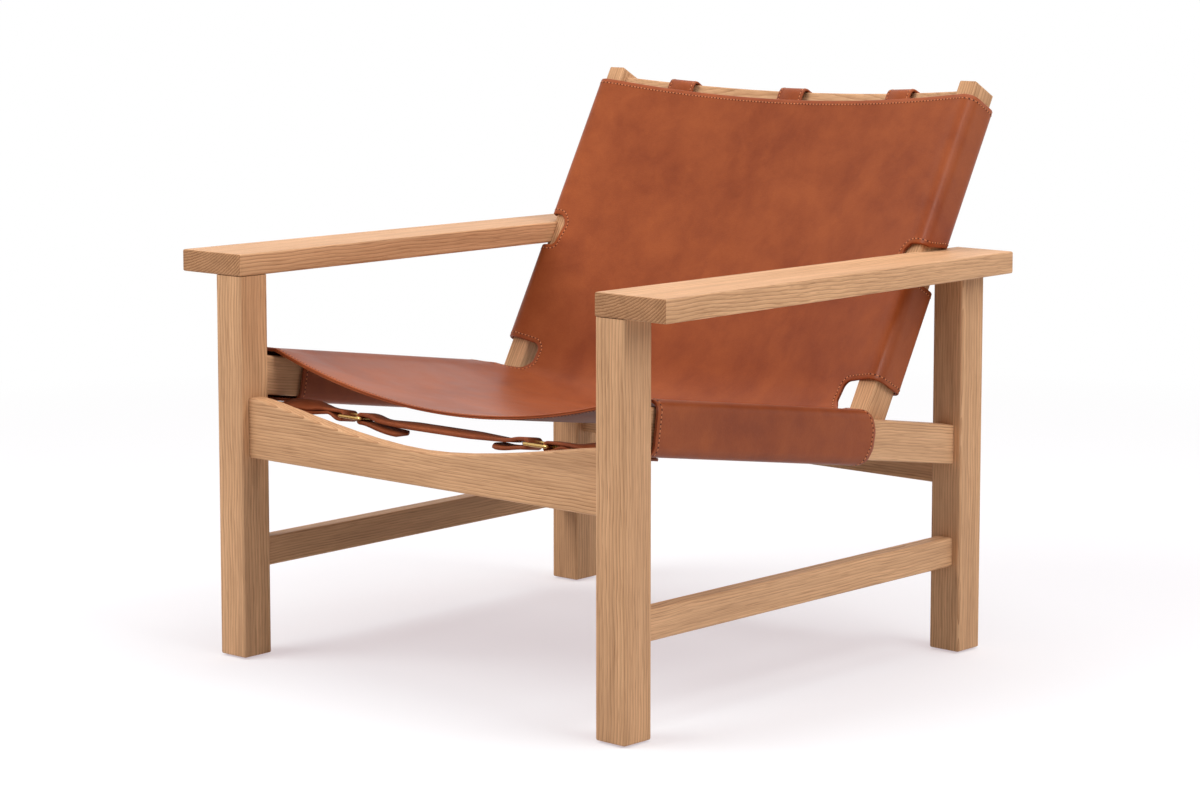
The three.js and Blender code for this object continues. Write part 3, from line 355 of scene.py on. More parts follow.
def inside(outline, points):
    """Which points lie inside the outline."""
    poly = np.array(outline)
    x0, y0 = poly[:, 0], poly[:, 1]
    x1, y1 = np.roll(x0, -1), np.roll(y0, -1)
    result = np.zeros(len(points), bool)
    for a, b, c, d in zip(x0, y0, x1, y1):
        crosses = (b > points[:, 1]) != (d > points[:, 1])
        if crosses.any() and d != b:
            result ^= crosses & (points[:, 0] < (c - a) * (points[:, 1] - b) / (d - b) + a)
    return result


def new_mesh(name, vertices, faces, materials, face_material=None, shade=True):
    mesh = bpy.data.meshes.new(name)
    mesh.from_pydata([tuple(v) for v in vertices], [], faces)
    for material in materials:
        mesh.materials.append(material)
    mesh.polygons.foreach_set("use_smooth", [shade] * len(mesh.polygons))
    if face_material is not None:
        mesh.polygons.foreach_set("material_index", face_material)
    mesh.update()
    piece = bpy.data.objects.new(name, mesh)
    bpy.context.scene.collection.objects.link(piece)
    return piece


def mark_rim(piece, values):
    """Tell the leather where its cut edges are: 0 on an edge, 1 away from it."""
    piece.data.attributes.new("rim", "FLOAT", "POINT").data.foreach_set("value", values)


def settle(piece, node=None):
    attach(piece, "root")
    if node:
        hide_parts(node)


def srgb(red, green, blue):
    def linear(value):
        value /= 255
        return value / 12.92 if value <= 0.04045 else ((value + 0.055) / 1.055) ** 2.4
    return linear(red), linear(green), linear(blue), 1.0


class Nodes:
    """Small helper that adds shader nodes to a new material, or to a given tree."""

    def __init__(self, name=None, tree=None):
        if tree is None:
            self.material = bpy.data.materials.new(name)
            self.material.use_nodes = True
            tree = self.material.node_tree
            self.shader = tree.nodes["Principled BSDF"]
        self.tree = tree

    def connect(self, value, socket):
        """Link an output to a socket, or give the socket a fixed value."""
        if hasattr(value, "is_output"):
            self.tree.links.new(value, socket)
        else:
            socket.default_value = value

    def add(self, kind, inputs=None, **settings):
        node = self.tree.nodes.new(kind)
        for key, value in settings.items():
            setattr(node, key, value)
        for key, value in (inputs or {}).items():
            self.connect(value, node.inputs[key])
        return node

    def set(self, **values):
        for key, value in values.items():
            self.connect(value, self.shader.inputs[key.replace("_", " ")])

    def coordinates(self, kind):
        return self.add("ShaderNodeTexCoord").outputs[kind]

    def mapping(self, vector, **inputs):
        return self.add("ShaderNodeMapping", {"Vector": vector, **inputs}).outputs["Vector"]

    def math(self, operation, a, b=0.0, c=0.0):
        return self.add("ShaderNodeMath", {0: a, 1: b, 2: c}, operation=operation).outputs[0]

    def vector(self, operation, a, b=(0, 0, 0), output="Vector"):
        return self.add("ShaderNodeVectorMath", {0: a, 1: b}, operation=operation).outputs[output]

    def map_range(self, value, low, high, to_low=0.0, to_high=1.0):
        inputs = {"Value": value, "From Min": low, "From Max": high, "To Min": to_low,
                  "To Max": to_high}
        return self.add("ShaderNodeMapRange", inputs).outputs[0]

    def ramp(self, factor, stops):
        node = self.add("ShaderNodeValToRGB", {"Fac": factor})
        elements = node.color_ramp.elements
        while len(elements) < len(stops):
            elements.new(0.5)
        for element, (place, colour) in zip(elements, stops):
            element.position, element.color = place, colour
        return node.outputs["Color"]

    def mix(self, factor, a, b, blend="MIX"):
        return self.add("ShaderNodeMix", {0: factor, 6: a, 7: b}, data_type="RGBA",
                        blend_type=blend).outputs[2]

    def noise(self, vector, scale, detail=2.0, roughness=0.5, distortion=0.0, output="Fac"):
        inputs = {"Vector": vector, "Scale": scale, "Detail": detail, "Roughness": roughness,
                  "Distortion": distortion}
        return self.add("ShaderNodeTexNoise", inputs).outputs[output]

    def drift(self, vector, scale, amount):
        """Coloured noise about its middle value, times an amount."""
        colour = self.noise(vector, scale, output="Color")
        centred = self.vector("SUBTRACT", colour, (0.5, 0.5, 0.5))
        return self.vector("MULTIPLY", centred, (amount, amount, amount))

    def bump(self, height, distance, strength, normal=None):
        inputs = {"Height": height, "Distance": distance, "Strength": strength}
        if normal is not None:
            inputs["Normal"] = normal
        return self.add("ShaderNodeBump", inputs).outputs["Normal"]

    def seen_rays(self):
        """1 for camera, glossy and transmission rays, 0 for the rays that light the scene."""
        paths = self.add("ShaderNodeLightPath").outputs
        mirrored = self.math("MAXIMUM", paths["Is Glossy Ray"], paths["Is Transmission Ray"])
        return self.math("MAXIMUM", paths["Is Camera Ray"], mirrored)


# How far apart two oak members lie along the tree, so that no two look alike
PLANK_STEP = 0.37


def oak_material(name, direction, seed, pith, centre):
    """Oiled oak whose grain runs along a direction, with the heart of the tree off the piece."""
    n = Nodes(name)
    grain = Vector(direction).normalized()
    turn = grain.rotation_difference(Vector((0, 0, 1))).to_euler()
    heart = Vector((pith[0], pith[1], seed * PLANK_STEP)) - turn.to_matrix() @ centre
    upright = n.mapping(n.coordinates("Object"), Rotation=turn, Location=heart)

    # Rings that wander slowly along the grain and sway across it
    slow, wide = n.mapping(upright, Scale=(1, 1, 0.06)), n.mapping(upright, Scale=(0.15, 0.15, 1))
    moved = n.vector("ADD", slow, n.drift(slow, 9.0, 0.010))
    moved = n.vector("ADD", moved, n.drift(wide, 10.0, 0.007))
    wave = {"Vector": moved, "Scale": 92.0, "Distortion": 2.4, "Detail": 2.0, "Detail Scale": 1.6,
            "Detail Roughness": 0.6}
    rings = n.add("ShaderNodeTexWave", wave, wave_type="RINGS", rings_direction="Z",
                  wave_profile="SAW").outputs["Fac"]
    early = n.ramp(rings, [(0.0, srgb(227, 181, 139)), (0.62, srgb(213, 164, 121)),
                           (1.0, srgb(168, 117, 77))])

    # Ring colours over the plank's tone, stronger in some places
    tone = n.noise(slow, 5.0, 3.0, 0.55)
    base = n.ramp(tone, [(0.3, srgb(194, 147, 108)), (0.7, srgb(212, 167, 129))])
    strong = n.map_range(n.noise(slow, 26.0), 0.35, 0.65, 0.2, 0.78)
    colour = n.mix(strong, base, early)

    # Streaks, fibres and pores
    streaks = n.noise(slow, 70.0)
    fibres = n.noise(n.mapping(upright, Scale=(1, 1, 0.02)), 640.0, 3.0, 0.65)
    pores = n.noise(n.mapping(upright, Scale=(1, 1, 0.03)), 1000.0, 1.0)
    for amount, source, stops in (
            (1.0, streaks, [(0.35, (0.91, 0.89, 0.87, 1)), (0.62, (1.06, 1.06, 1.06, 1))]),
            (0.8, fibres, [(0.36, (0.84, 0.81, 0.78, 1)), (0.60, (1.05, 1.05, 1.05, 1))]),
            (0.65, pores, [(0.30, (0.66, 0.60, 0.54, 1)), (0.40, (1, 1, 1, 1))])):
        colour = n.mix(amount, colour, n.ramp(source, stops), "MULTIPLY")

    # End grain, where a face looks along the grain
    facing = n.vector("DOT_PRODUCT", n.coordinates("Normal"), tuple(grain), "Value")
    end = n.map_range(n.math("ABSOLUTE", facing), 0.75, 0.92)
    end_grain = n.ramp(rings, [(0.0, (0.78, 0.71, 0.64, 1)), (0.6, (0.68, 0.60, 0.53, 1)),
                               (1.0, (0.48, 0.40, 0.33, 1))])
    colour = n.mix(end, colour, n.mix(1.0, colour, end_grain, "MULTIPLY"))
    n.set(Base_Color=colour, Roughness=n.math("MULTIPLY_ADD", fibres, 0.16, 0.44),
          Specular_IOR_Level=0.25, Normal=n.bump(n.math("ADD", fibres, pores), 0.00022, 0.5))
    return n.material


def leather_material(name, dark, light, rough=0.42, cloud=7.0, edge=(0.52, 0.44, 0.40, 1)):
    """Smooth saddle leather: cloudy dye, a fine grain, and cut edges of their own tone."""
    n = Nodes(name)
    place = n.coordinates("Object")
    clouds = n.noise(place, cloud, 4.0, 0.6, 0.6)
    blotches = n.noise(place, 34.0, 3.0, 0.55, 0.3)
    specks = n.noise(place, 420.0, 2.0, 0.6)
    both = n.math("MULTIPLY_ADD", blotches, 0.35, n.math("MULTIPLY", clouds, 0.65))
    colour = n.ramp(both, [(0.36, dark), (0.62, light)])
    speck_tint = n.ramp(specks, [(0.3, (0.90, 0.88, 0.86, 1)), (0.7, (1.06, 1.06, 1.06, 1))])
    colour = n.mix(0.5, colour, speck_tint, "MULTIPLY")
    rim = n.add("ShaderNodeAttribute", attribute_name="rim", attribute_type="GEOMETRY")
    burnt = n.mix(0.6, colour, edge, "MULTIPLY")
    colour = n.mix(n.map_range(rim.outputs["Fac"], 0.0, 0.8, 1.0, 0.0), colour, burnt)
    grain = n.add("ShaderNodeTexVoronoi", {"Vector": place, "Scale": 620.0}).outputs["Distance"]
    fine = n.bump(n.math("MULTIPLY_ADD", specks, 0.5, grain), 0.00016, 0.5)
    n.set(Base_Color=colour, Roughness=n.math("MULTIPLY_ADD", blotches, 0.16, rough - 0.08),
          Specular_IOR_Level=0.24, Sheen_Weight=0.04, Sheen_Roughness=0.35,
          Normal=n.bump(clouds, 0.004, 0.18, fine))
    return n.material


# How far wear takes a fitting's colour up and down
WEAR_SPREAD = 0.08


def plain_material(name, colour, rough, metal=0.0):
    """A small fitting: one colour with slight wear in its tone and gloss."""
    n = Nodes(name)
    wear = n.noise(n.coordinates("Object"), 160.0, 3.0, 0.6)
    low, high = (tuple(min(1, c * tone) for c in colour[:3]) + (1,)
                 for tone in (1 - WEAR_SPREAD, 1 + WEAR_SPREAD))
    n.set(Base_Color=n.ramp(wear, [(0.3, low), (0.7, high)]),
          Roughness=n.math("MULTIPLY_ADD", wear, 0.12, rough - 0.06), Metallic=metal)
    return n.material


COGNAC = leather_material(
    "cognac_leather", srgb(132, 60, 27), srgb(156, 79, 40), edge=(1.15, 1.10, 1.0, 1))
LINING = leather_material("leather_lining", srgb(100, 54, 38), srgb(126, 72, 50), 0.6)
STRAP_LEATHER = leather_material(
    "strap_leather", srgb(126, 60, 31), srgb(156, 84, 50), 0.5, 20.0, (0.80, 0.72, 0.66, 1))
THREAD = plain_material("stitching_thread", srgb(208, 130, 84), 0.75)
# Dark beads set between the stitches: painted shade that stands in for the stitch holes
HOLE_SHADE = plain_material("stitch_hole_shade", srgb(72, 32, 18), 0.9)
BRASS = plain_material("brass_fittings", srgb(214, 178, 112), 0.28, 1.0)
STEEL = plain_material("steel_screws", srgb(150, 150, 150), 0.35, 1.0)
NYLON = plain_material("nylon_glides", srgb(44, 40, 37), 0.6)


def node_centre(node):
    corners = nodes[node].bound_box
    return sum((Vector(corner) for corner in corners), Vector()) / len(corners)


def paint(node, material):
    mesh = nodes[node].data
    mesh.materials.clear()
    mesh.materials.append(material)


# Oak members: the way of the grain, which is along each one, and the place of the tree's heart
UP, ACROSS = (0, 0, 1), (1, 0, 0)
BACK_WAY = Vector((0, math.sin(LEAN), math.cos(LEAN)))
oak_members = []
for side, side_name in ((1, "left"), (-1, "right")):
    level_way = Vector((side * math.sin(FLARE), math.cos(FLARE), 0))
    slope_way = Vector((level_way.x, level_way.y, SLOPE))
    oak_members += [
        (f"leg_front_{side_name}", UP, (0.12, 0.15)), (f"leg_back_{side_name}", UP, (-0.14, 0.1)),
        (f"arm_{side_name}", level_way, (0.07, 0.14)),
        (f"seat_rail_{side_name}", slope_way, (0.06, 0.2)),
        (f"stretcher_{side_name}", level_way, (0.07, 0.2)),
        (f"back_post_{side_name}", BACK_WAY, (0.2, 0.12))]
oak_members += [("front_rail", ACROSS, (0.15, 0.12)), ("rear_rail", ACROSS, (0.2, 0.1)),
                ("crest_rail", ACROSS, (0.16, 0.1))]
for seed, (member, way, pith) in enumerate(oak_members, 1):
    paint(member, oak_material(f"oak_{member}", way, seed, pith, node_centre(member)))
for node in nodes:
    for word, material in (("glide_", NYLON), ("post_screw_", STEEL), ("_tongue", BRASS)):
        if word in node:
            paint(node, material)


# How finely the sling is divided: outline, half panel, a wrap's runs, rows (closer at the fold)
OUTLINE_STEP, PANEL_PARTS, WRAP_PARTS = 5.0, 42, (4, 6, 6, 6, 4, 6, 3)
FIRST_ROW, ROW_STEP, FOLD_ROW_STEP = 4.0, 7.0, 4.5
FOLD_ROWS = EDGE.before - 60, BACK_START + 20
RIM_CLEARANCE, SAME_SPOT = 2.4, 1e-6


def sling_surface():
    """The cut outline, the triangles of the middle surface, its points and the loop of its rim."""
    outline = full_outline(OUTLINE_STEP)
    spots = []
    v = FIRST_ROW
    while v < EDGE_END:
        half = carrier_half(v)
        stops = SEAT_STOPS if v < EDGE.before else BACK_STOPS
        across = list(np.linspace(0, half, PANEL_PARTS)[1:])
        for part, count in enumerate(WRAP_PARTS):
            start, span = stops[part], stops[part + 1] - stops[part]
            across.extend(half + start + span * k / count for k in range(1, count + 1))
        spots.append((0.0, v))
        spots.extend((sign * u, v) for u in across for sign in (1, -1))
        v += FOLD_ROW_STEP if FOLD_ROWS[0] < v < FOLD_ROWS[1] else ROW_STEP
    spots = np.array(spots)
    keep = inside(inset(outline, RIM_CLEARANCE), spots)
    points = [Vector(p) for p in outline] + [Vector(p) for p in spots[keep]]
    rim = len(outline)
    edges = [(k, (k + 1) % rim) for k in range(rim)]
    made = delaunay_2d_cdt(points, edges, [], 0, SAME_SPOT, True)
    flat, faces = made[0], [list(face) for face in made[2]]
    middles = np.array([[sum(flat[k].x for k in face) / 3, sum(flat[k].y for k in face) / 3]
                        for face in faces])
    faces = [face for face, kept in zip(faces, inside(outline, middles)) if kept]
    came_from = {source: index for index, sources in enumerate(made[3]) for source in sources}
    loop = [came_from[index] for index in range(rim)]
    solid = np.array([sling_point(p.x, p.y) for p in flat])
    return np.array(outline), faces, solid, loop


def sheet_normals(points, faces):
    normals = np.zeros_like(points)
    for a, b, c in faces:
        normal = np.cross(points[b] - points[a], points[c] - points[a])
        for index in (a, b, c):
            normals[index] += normal
    return normals / np.linalg.norm(normals, axis=1)[:, None]


cut, sling_faces, sling_points, rim_loop = sling_surface()
sling_normals = sheet_normals(sling_points, sling_faces)

# The gap between the sling's layers; how far a cut edge's faces draw back and its middle sticks out
LAYER_GAP, EDGE_BACK, EDGE_OUT = 0.1, 0.5, 0.35


def leather_layer(name, centre, thickness, materials):
    """One layer of the sling: a closed sheet with softly rounded cut edges."""
    count, size = len(sling_points), len(rim_loop)
    top = sling_points + sling_normals * (centre + thickness / 2)
    bottom = sling_points + sling_normals * (centre - thickness / 2)
    middle = []
    for place, index in enumerate(rim_loop):
        along = sling_points[rim_loop[(place + 1) % size]] - sling_points[rim_loop[place - 1]]
        away = unit(np.cross(along, sling_normals[index]))
        top[index] = top[index] - away * EDGE_BACK
        bottom[index] = bottom[index] - away * EDGE_BACK
        middle.append(sling_points[index] + sling_normals[index] * centre + away * EDGE_OUT)
    vertices = np.concatenate([top, bottom, np.array(middle)]) * MM
    faces = [list(face) for face in sling_faces]
    faces.extend([a + count, c + count, b + count] for a, b, c in sling_faces)
    slots = [0] * len(sling_faces) + [1] * len(sling_faces)
    for place in range(size):
        a, b = rim_loop[place], rim_loop[(place + 1) % size]
        ma, mb = 2 * count + place, 2 * count + (place + 1) % size
        faces.extend([[a, ma, mb, b], [ma, a + count, b + count, mb]])
        slots.extend([2, 2])
    piece = new_mesh(name, vertices, faces, materials, slots)
    rim = np.ones(len(vertices), np.float32)
    rim[rim_loop] = 0.0
    rim[[index + count for index in rim_loop]] = 0.0
    rim[2 * count:] = 0.0
    mark_rim(piece, rim)
    return piece


layer, layer_middle = LEATHER / 2 - LAYER_GAP, LEATHER / 4 + LAYER_GAP / 2
for piece in (leather_layer("sling_leather", layer_middle, layer, [COGNAC, LINING, COGNAC]),
              leather_layer("sling_lining", -layer_middle, layer, [LINING, LINING, COGNAC])):
    settle(piece, "leather_sling")


# A stitch's rings along it and its section across it: places and heights as shares
STITCH_RINGS = ((-0.5, 0.15), (-0.28, 0.9), (0.28, 0.9), (0.5, 0.15))
STITCH_SECTION = ((-0.5, 0.0), (-0.28, 1.0), (0.28, 1.0), (0.5, 0.0))
STITCH_LIFT, STITCH_SINK = 0.45, 0.12

# The row of stitches round the sling
STITCH_INSET, STITCH_SPACING, FINE_STEP = 5.6, 5.4, 3.0


def stitch_mesh(name, centres, ways, ups, material, length, width=1.5, height=0.9):
    """Rows of single stitches: small long beads pulled into the leather at both ends."""
    vertices, faces = [], []
    for centre, way, up in zip(centres, ways, ups):
        side = np.cross(up, way)
        start = len(vertices)
        for place, swell in STITCH_RINGS:
            at = centre + way * length * place
            lift = height * (swell - STITCH_LIFT)
            for across, over in STITCH_SECTION:
                rise = lift * over - STITCH_SINK * (1 - over)
                vertices.append(at + side * width * across * swell + up * rise)
        rings = [start, start + 4, start + 8]
        faces.extend([a + k, a + k + 1, a + k + 5, a + k + 4] for a in rings for k in range(3))
        faces.append([start + 3, start + 2, start + 1, start])
        faces.append([start + 12, start + 13, start + 14, start + 15])
        faces.extend([a, a + 4, a + 7, a + 3] for a in rings)
    return new_mesh(name, np.array(vertices) * MM, faces, [material])


def walk(path, spacing):
    """Points at even spacing along a closed path in the flat, with their directions."""
    points = np.array(path + [path[0]])
    spans = np.linalg.norm(np.diff(points, axis=0), axis=1)
    stops = np.concatenate([[0], np.cumsum(spans)])
    count = int(stops[-1] / spacing)
    for k in range(count):
        distance = stops[-1] * k / count
        index = int(np.searchsorted(stops, distance, side="right")) - 1
        index = min(index, len(spans) - 1)
        share = (distance - stops[index]) / spans[index]
        span = points[index + 1] - points[index]
        yield points[index] + span * share, span / spans[index]


def sling_rows(shift=0.0):
    """Middle, direction and outward side of each stitch round the sling, on both faces."""
    centres, ways, ups = [], [], []
    for spot, way in walk(inset(full_outline(FINE_STEP), STITCH_INSET), STITCH_SPACING):
        spot = spot + way * shift
        here = sling_point(*spot)
        ahead, behind = sling_point(*(spot + way)), sling_point(*(spot - way))
        left = sling_point(*(spot + vec(-way[1], way[0])))
        along = unit(ahead - behind)
        up = unit(np.cross(along, left - here))
        for sign in (1, -1):
            centres.append(here + up * sign * LEATHER / 2)
            ways.append(along)
            ups.append(up * sign)
    return centres, ways, ups


settle(stitch_mesh("sling_stitching", *sling_rows(), THREAD, 3.6))
# Between the stitches, dark beads of painted shade where the stitch holes are
settle(stitch_mesh("sling_stitch_hole_shade", *sling_rows(STITCH_SPACING / 2), HOLE_SHADE, 2.1, 2.6, 0.5))


# How finely a side-view path is divided
ARC_STEP, CURVE_PARTS, SHORTEST_SPAN, LONGEST_SPAN = 15, 12, 0.05, 8


def path_points(*parts):
    """A side-view path from straight points, arcs and curves."""
    points = []
    for part in parts:
        if part[0] == "to":
            points.append(vec(*part[1]))
        elif part[0] == "arc":
            _, centre, radius, start, turn = part
            steps = max(4, int(abs(turn) / ARC_STEP))
            for k in range(steps + 1):
                angle = math.radians(start + turn * k / steps)
                points.append(vec(*centre) + radius * vec(math.cos(angle), math.sin(angle)))
        else:
            start = points[-1]
            _, one, two, end = part
            for k in range(1, CURVE_PARTS + 1):
                t = k / CURVE_PARTS
                points.append((1 - t) ** 3 * start + 3 * (1 - t) ** 2 * t * vec(*one)
                              + 3 * (1 - t) * t * t * vec(*two) + t ** 3 * vec(*end))
    cleaned = [points[0]]
    for point in points[1:]:
        if np.linalg.norm(point - cleaned[-1]) > SHORTEST_SPAN:
            cleaned.append(point)
    dense = [cleaned[0]]
    for point in cleaned[1:]:
        start = dense[-1]
        count = max(1, int(np.linalg.norm(point - start) / LONGEST_SPAN))
        dense.extend(start + (point - start) * k / count for k in range(1, count + 1))
    return dense


# How far a strap's edges are softened, and the shares to which a tip narrows and thins
STRAP_SOFT, TIP_NARROW, TIP_THIN = 0.7, 0.12, 0.4


def band(name, path, thickness, width, place, material, tips=(False, False), twist=((0.0, 0.0),)):
    """A leather strap with softened edges along a side-view path. A tip tapers to a round point.

    Twist holds places along the strap and its turn there, in degrees.
    """
    points = np.array(path)
    along = np.gradient(points, axis=0)
    along /= np.linalg.norm(along, axis=1)[:, None]
    stops = path_stops(points)
    places, degrees = zip(*twist)
    half_t, half_w = thickness / 2, width / 2
    low, soft = -half_t + STRAP_SOFT, half_w - STRAP_SOFT
    under = [(-half_w, low, 0.0), (-soft, -half_t, 0.5), (0, -half_t, 1.0), (soft, -half_t, 0.5),
             (half_w, low, 0.0)]
    ring = under + [(-across, -over, tone) for across, over, tone in under]
    vertices, faces, rim = [], [], []
    count = len(ring)
    for index, point in enumerate(points):
        share = 1.0
        for tip, distance in zip(tips, (stops[index], stops[-1] - stops[index])):
            if tip and distance < half_w:
                roundness = math.sqrt(1 - (1 - distance / half_w) ** 2)
                share = min(share, max(TIP_NARROW, roundness))
        aside = vec(-along[index][1], along[index][0])
        turn = math.radians(float(np.interp(stops[index], places, degrees)))
        for across, over, tone in ring:
            narrow, thin = across * share, over * (TIP_THIN + (1 - TIP_THIN) * share)
            at = point + aside * (thin * math.cos(turn) + narrow * math.sin(turn))
            depth = narrow * math.cos(turn) - thin * math.sin(turn)
            vertices.append(place @ Vector((at[0] * MM, depth * MM, at[1] * MM)))
            rim.append(tone)
    for index in range(len(points) - 1):
        a, b = index * count, (index + 1) * count
        faces.extend([a + k, a + (k + 1) % count, b + (k + 1) % count, b + k] for k in range(count))
    faces.append(list(range(count))[::-1])
    faces.append([len(vertices) - count + k for k in range(count)])
    piece = new_mesh(name, vertices, faces, [material])
    mark_rim(piece, rim)
    return piece


# How finely a brass rod is divided, along and round
ROD_STEP, ROD_SIDES = 2.0, 10


def rod_loop(name, length, width, corner, radius, place, material):
    """A rounded rectangular frame of round brass rod."""
    x, y = length / 2, width / 2
    centre_line = rounded([(-x, -y, corner), (x, -y, corner), (x, y, corner), (-x, y, corner)],
                          ROD_STEP)
    vertices, faces = [], []
    count = len(centre_line)
    for index, (point, aside) in enumerate(zip(centre_line, lefts(centre_line))):
        here, following = index * ROD_SIDES, (index + 1) % count * ROD_SIDES
        for k in range(ROD_SIDES):
            angle = 2 * math.pi * k / ROD_SIDES
            flat = point + aside * radius * math.cos(angle)
            rise = radius * math.sin(angle)
            vertices.append(place @ Vector((flat[0] * MM, flat[1] * MM, rise * MM)))
        for k in range(ROD_SIDES):
            after = (k + 1) % ROD_SIDES
            faces.append([here + k, here + after, following + after, following + k])
    return new_mesh(name, vertices, faces, [material])


back_plane = (Matrix.Translation((0, (FOOT_Y + OPENING_SHIFT + SHIFT) * MM, FOOT_Z * MM))
              @ Matrix.Rotation(-LEAN, 4, "X"))


def crest_face(x):
    """How far back the crest rail's front face lies."""
    return CREST_MID - CREST_RADIUS + math.sqrt(CREST_RADIUS ** 2 - x ** 2)


def leather_back(x, along):
    """How far behind the crest rail's front face the leather's rear face lies."""
    point = panel_point(x, back_v(along))
    level, rise = point[1] - FOOT_Y - OPENING_SHIFT, point[2] - FOOT_Z
    return level * math.cos(LEAN) - rise * math.sin(LEAN) + LEATHER / 2 - crest_face(x)


def declare(piece, node):
    settle(piece, node)


def path_stops(points):
    return np.concatenate([[0], np.cumsum(np.linalg.norm(np.diff(points, axis=0), axis=1))])


def path_length(path):
    return float(np.linalg.norm(np.diff(np.array(path), axis=0), axis=1).sum())


# Crest loops: their sizes, their gap to the leather, and stations of their ends along the back
LOOP_THICK, LOOP_WIDTH, LOOP_SPREAD, LOOP_CORNER, LOOP_STAND = 3.0, 41.0, 184.8, 3, 0.6
LOOP_START, LOOP_FACE, LOOP_BEND, LOOP_TAIL = 432, 455, 406, 386
LOOP_STITCH_ASIDE, LOOP_STITCH_STEP, LOOP_STITCH_END = 17.0, 5.0, 4.0
# The second row is dark beads of painted shade where the stitch holes are
LOOP_STITCHES = (("stitching", 0.0, THREAD, (3.6, 1.4, 0.9)),
                 ("stitch_hole_shade", LOOP_STITCH_STEP / 2, HOLE_SHADE, (1.6, 1.6, 0.5)))
SWAP_XY = Matrix(((0, 1, 0, 0), (1, 0, 0, 0), (0, 0, 1, 0), (0, 0, 0, 1)))


def loop_stitches(name, path, place):
    """Two rows of stitches on a loop's outer face, one along each edge, with dark beads of painted
    shade for the holes between them.
    """
    points = np.array(path)
    stops = path_stops(points)
    spin = place.to_3x3()
    row = np.arange(LOOP_STITCH_END, stops[-1] - LOOP_STITCH_END, LOOP_STITCH_STEP)
    for kind, shift, material, size in LOOP_STITCHES:
        centres, ways, ups = [], [], []
        for distance in row + shift:
            here, ahead = (vec(*(float(np.interp(at, stops, points[:, axis])) for axis in (0, 1)))
                           for at in (distance, distance + 0.5))
            way = unit(ahead - here)
            up = vec(-way[1], way[0])
            face = here + up * LOOP_THICK / 2
            for aside in (-LOOP_STITCH_ASIDE, LOOP_STITCH_ASIDE):
                spot = Vector((face[0] * MM, aside * MM, face[1] * MM))
                centres.append(np.array(place @ spot) / MM)
                ways.append(np.array(spin @ Vector((way[0], 0, way[1]))))
                ups.append(np.array(spin @ Vector((up[0], 0, up[1]))))
        settle(stitch_mesh(f"{name}_{kind}", centres, ways, ups, material, *size))


# A loop's side view is drawn as back (away from the sitter) and along the back
for loop_name, x in (("right", -LOOP_SPREAD), ("centre", 0.0), ("left", LOOP_SPREAD)):
    away = FIT + LOOP_THICK / 2
    face = leather_back(x, LOOP_FACE) + LOOP_STAND + LOOP_THICK / 2
    tail = leather_back(x, LOOP_TAIL) + LOOP_STAND + LOOP_THICK / 2
    steer = (face - tail) / (LOOP_FACE - LOOP_TAIL)
    top, bottom, behind = CREST_TOP + away, CREST_BOTTOM - away, CREST_THICK + away
    start = face - steer * (LOOP_FACE - LOOP_START)
    turn_in = tail + steer * (LOOP_BEND - LOOP_TAIL)
    bend = behind - LOOP_CORNER
    path = path_points(
        ("to", (start, LOOP_START)), ("to", (face, LOOP_FACE)),
        ("curve", (face, LOOP_FACE + 12), (-12, top), (0, top)), ("to", (bend, top)),
        ("arc", (bend, top - LOOP_CORNER), LOOP_CORNER, 90, -90),
        ("to", (behind, bottom + LOOP_CORNER)),
        ("arc", (bend, bottom + LOOP_CORNER), LOOP_CORNER, 0, -90), ("to", (0, bottom)),
        ("curve", (-6, bottom), (turn_in, bottom), (turn_in, LOOP_BEND)), ("to", (tail, LOOP_TAIL)))
    spin = (Matrix.Translation((x * MM, crest_face(x) * MM, 0))
            @ Matrix.Rotation(-math.asin(x / CREST_RADIUS), 4, "Z"))
    place = back_plane @ spin @ SWAP_XY
    loop = band(f"crest_loop_band_{loop_name}", path, LOOP_THICK, LOOP_WIDTH, place, COGNAC)
    declare(loop, f"crest_loop_{loop_name}")
    loop_stitches(f"crest_loop_{loop_name}", path, place)

# Buckles: bar, frame, play beside the strap and corners of the rod
BAR, BUCKLE, PLAY, ROD_CORNER = 4.5, 40.0, 0.5, 4.0
BAR_REACH = math.hypot(BAR / 2, BAR / 2 - 1)
FOLD = BAR_REACH + FIT + STRAP / 2
SPACING = BUCKLE - BAR

# Chapes: a layer and its play, where the two layers meet before the bar, and how they bow
CHAPE_LAYER, CHAPE_PLAY, CHAPE_MEET = 3.6, 0.1, 26
CHAPE_PULL, CHAPE_BOW_SEAM, CHAPE_BOW_BAR = 0.35, 4.0, 2.5
# How a chape leans: degrees, then places along its free run and shares of the lean
CHAPE_LEAN = 26.0
CHAPE_TURN = ((0.0, 0.0), (0.15, 0.2), (0.3, 1.0), (0.7, 1.0), (0.95, 0.0))

# A strap's free tail
TAIL_LENGTH, TAIL_DROP = 72.0, 11.5

# The set under the seat. The centre strap lies flat in the buckles and leans in its free runs:
# shares of its length and degrees.
SEAT_STRAP_Y, SEAT_ANCHOR, SEAT_OVERLAP, SEAT_DROP = -258.0, 319.2, 16.0, 2.5
RIGHT_BUCKLE, LEFT_BUCKLE = -157.6, 153.4
CENTRE_TURN = ((0.0, -12.0), (0.1, -8.0), (0.15, 0.0), (0.25, 0.0), (0.38, 12.0),
               (0.62, 12.0), (0.75, 0.0), (0.87, 0.0), (0.92, -6.0), (1.0, -12.0))

# The two sets behind the back
BACK_BUCKLE, BACK_ANCHOR, BACK_OVERLAP, BACK_DROP = -70.0, 304.0, 20.0, 4.0
BACK_SETS = (("lower", 140.0), ("upper", 335.0))


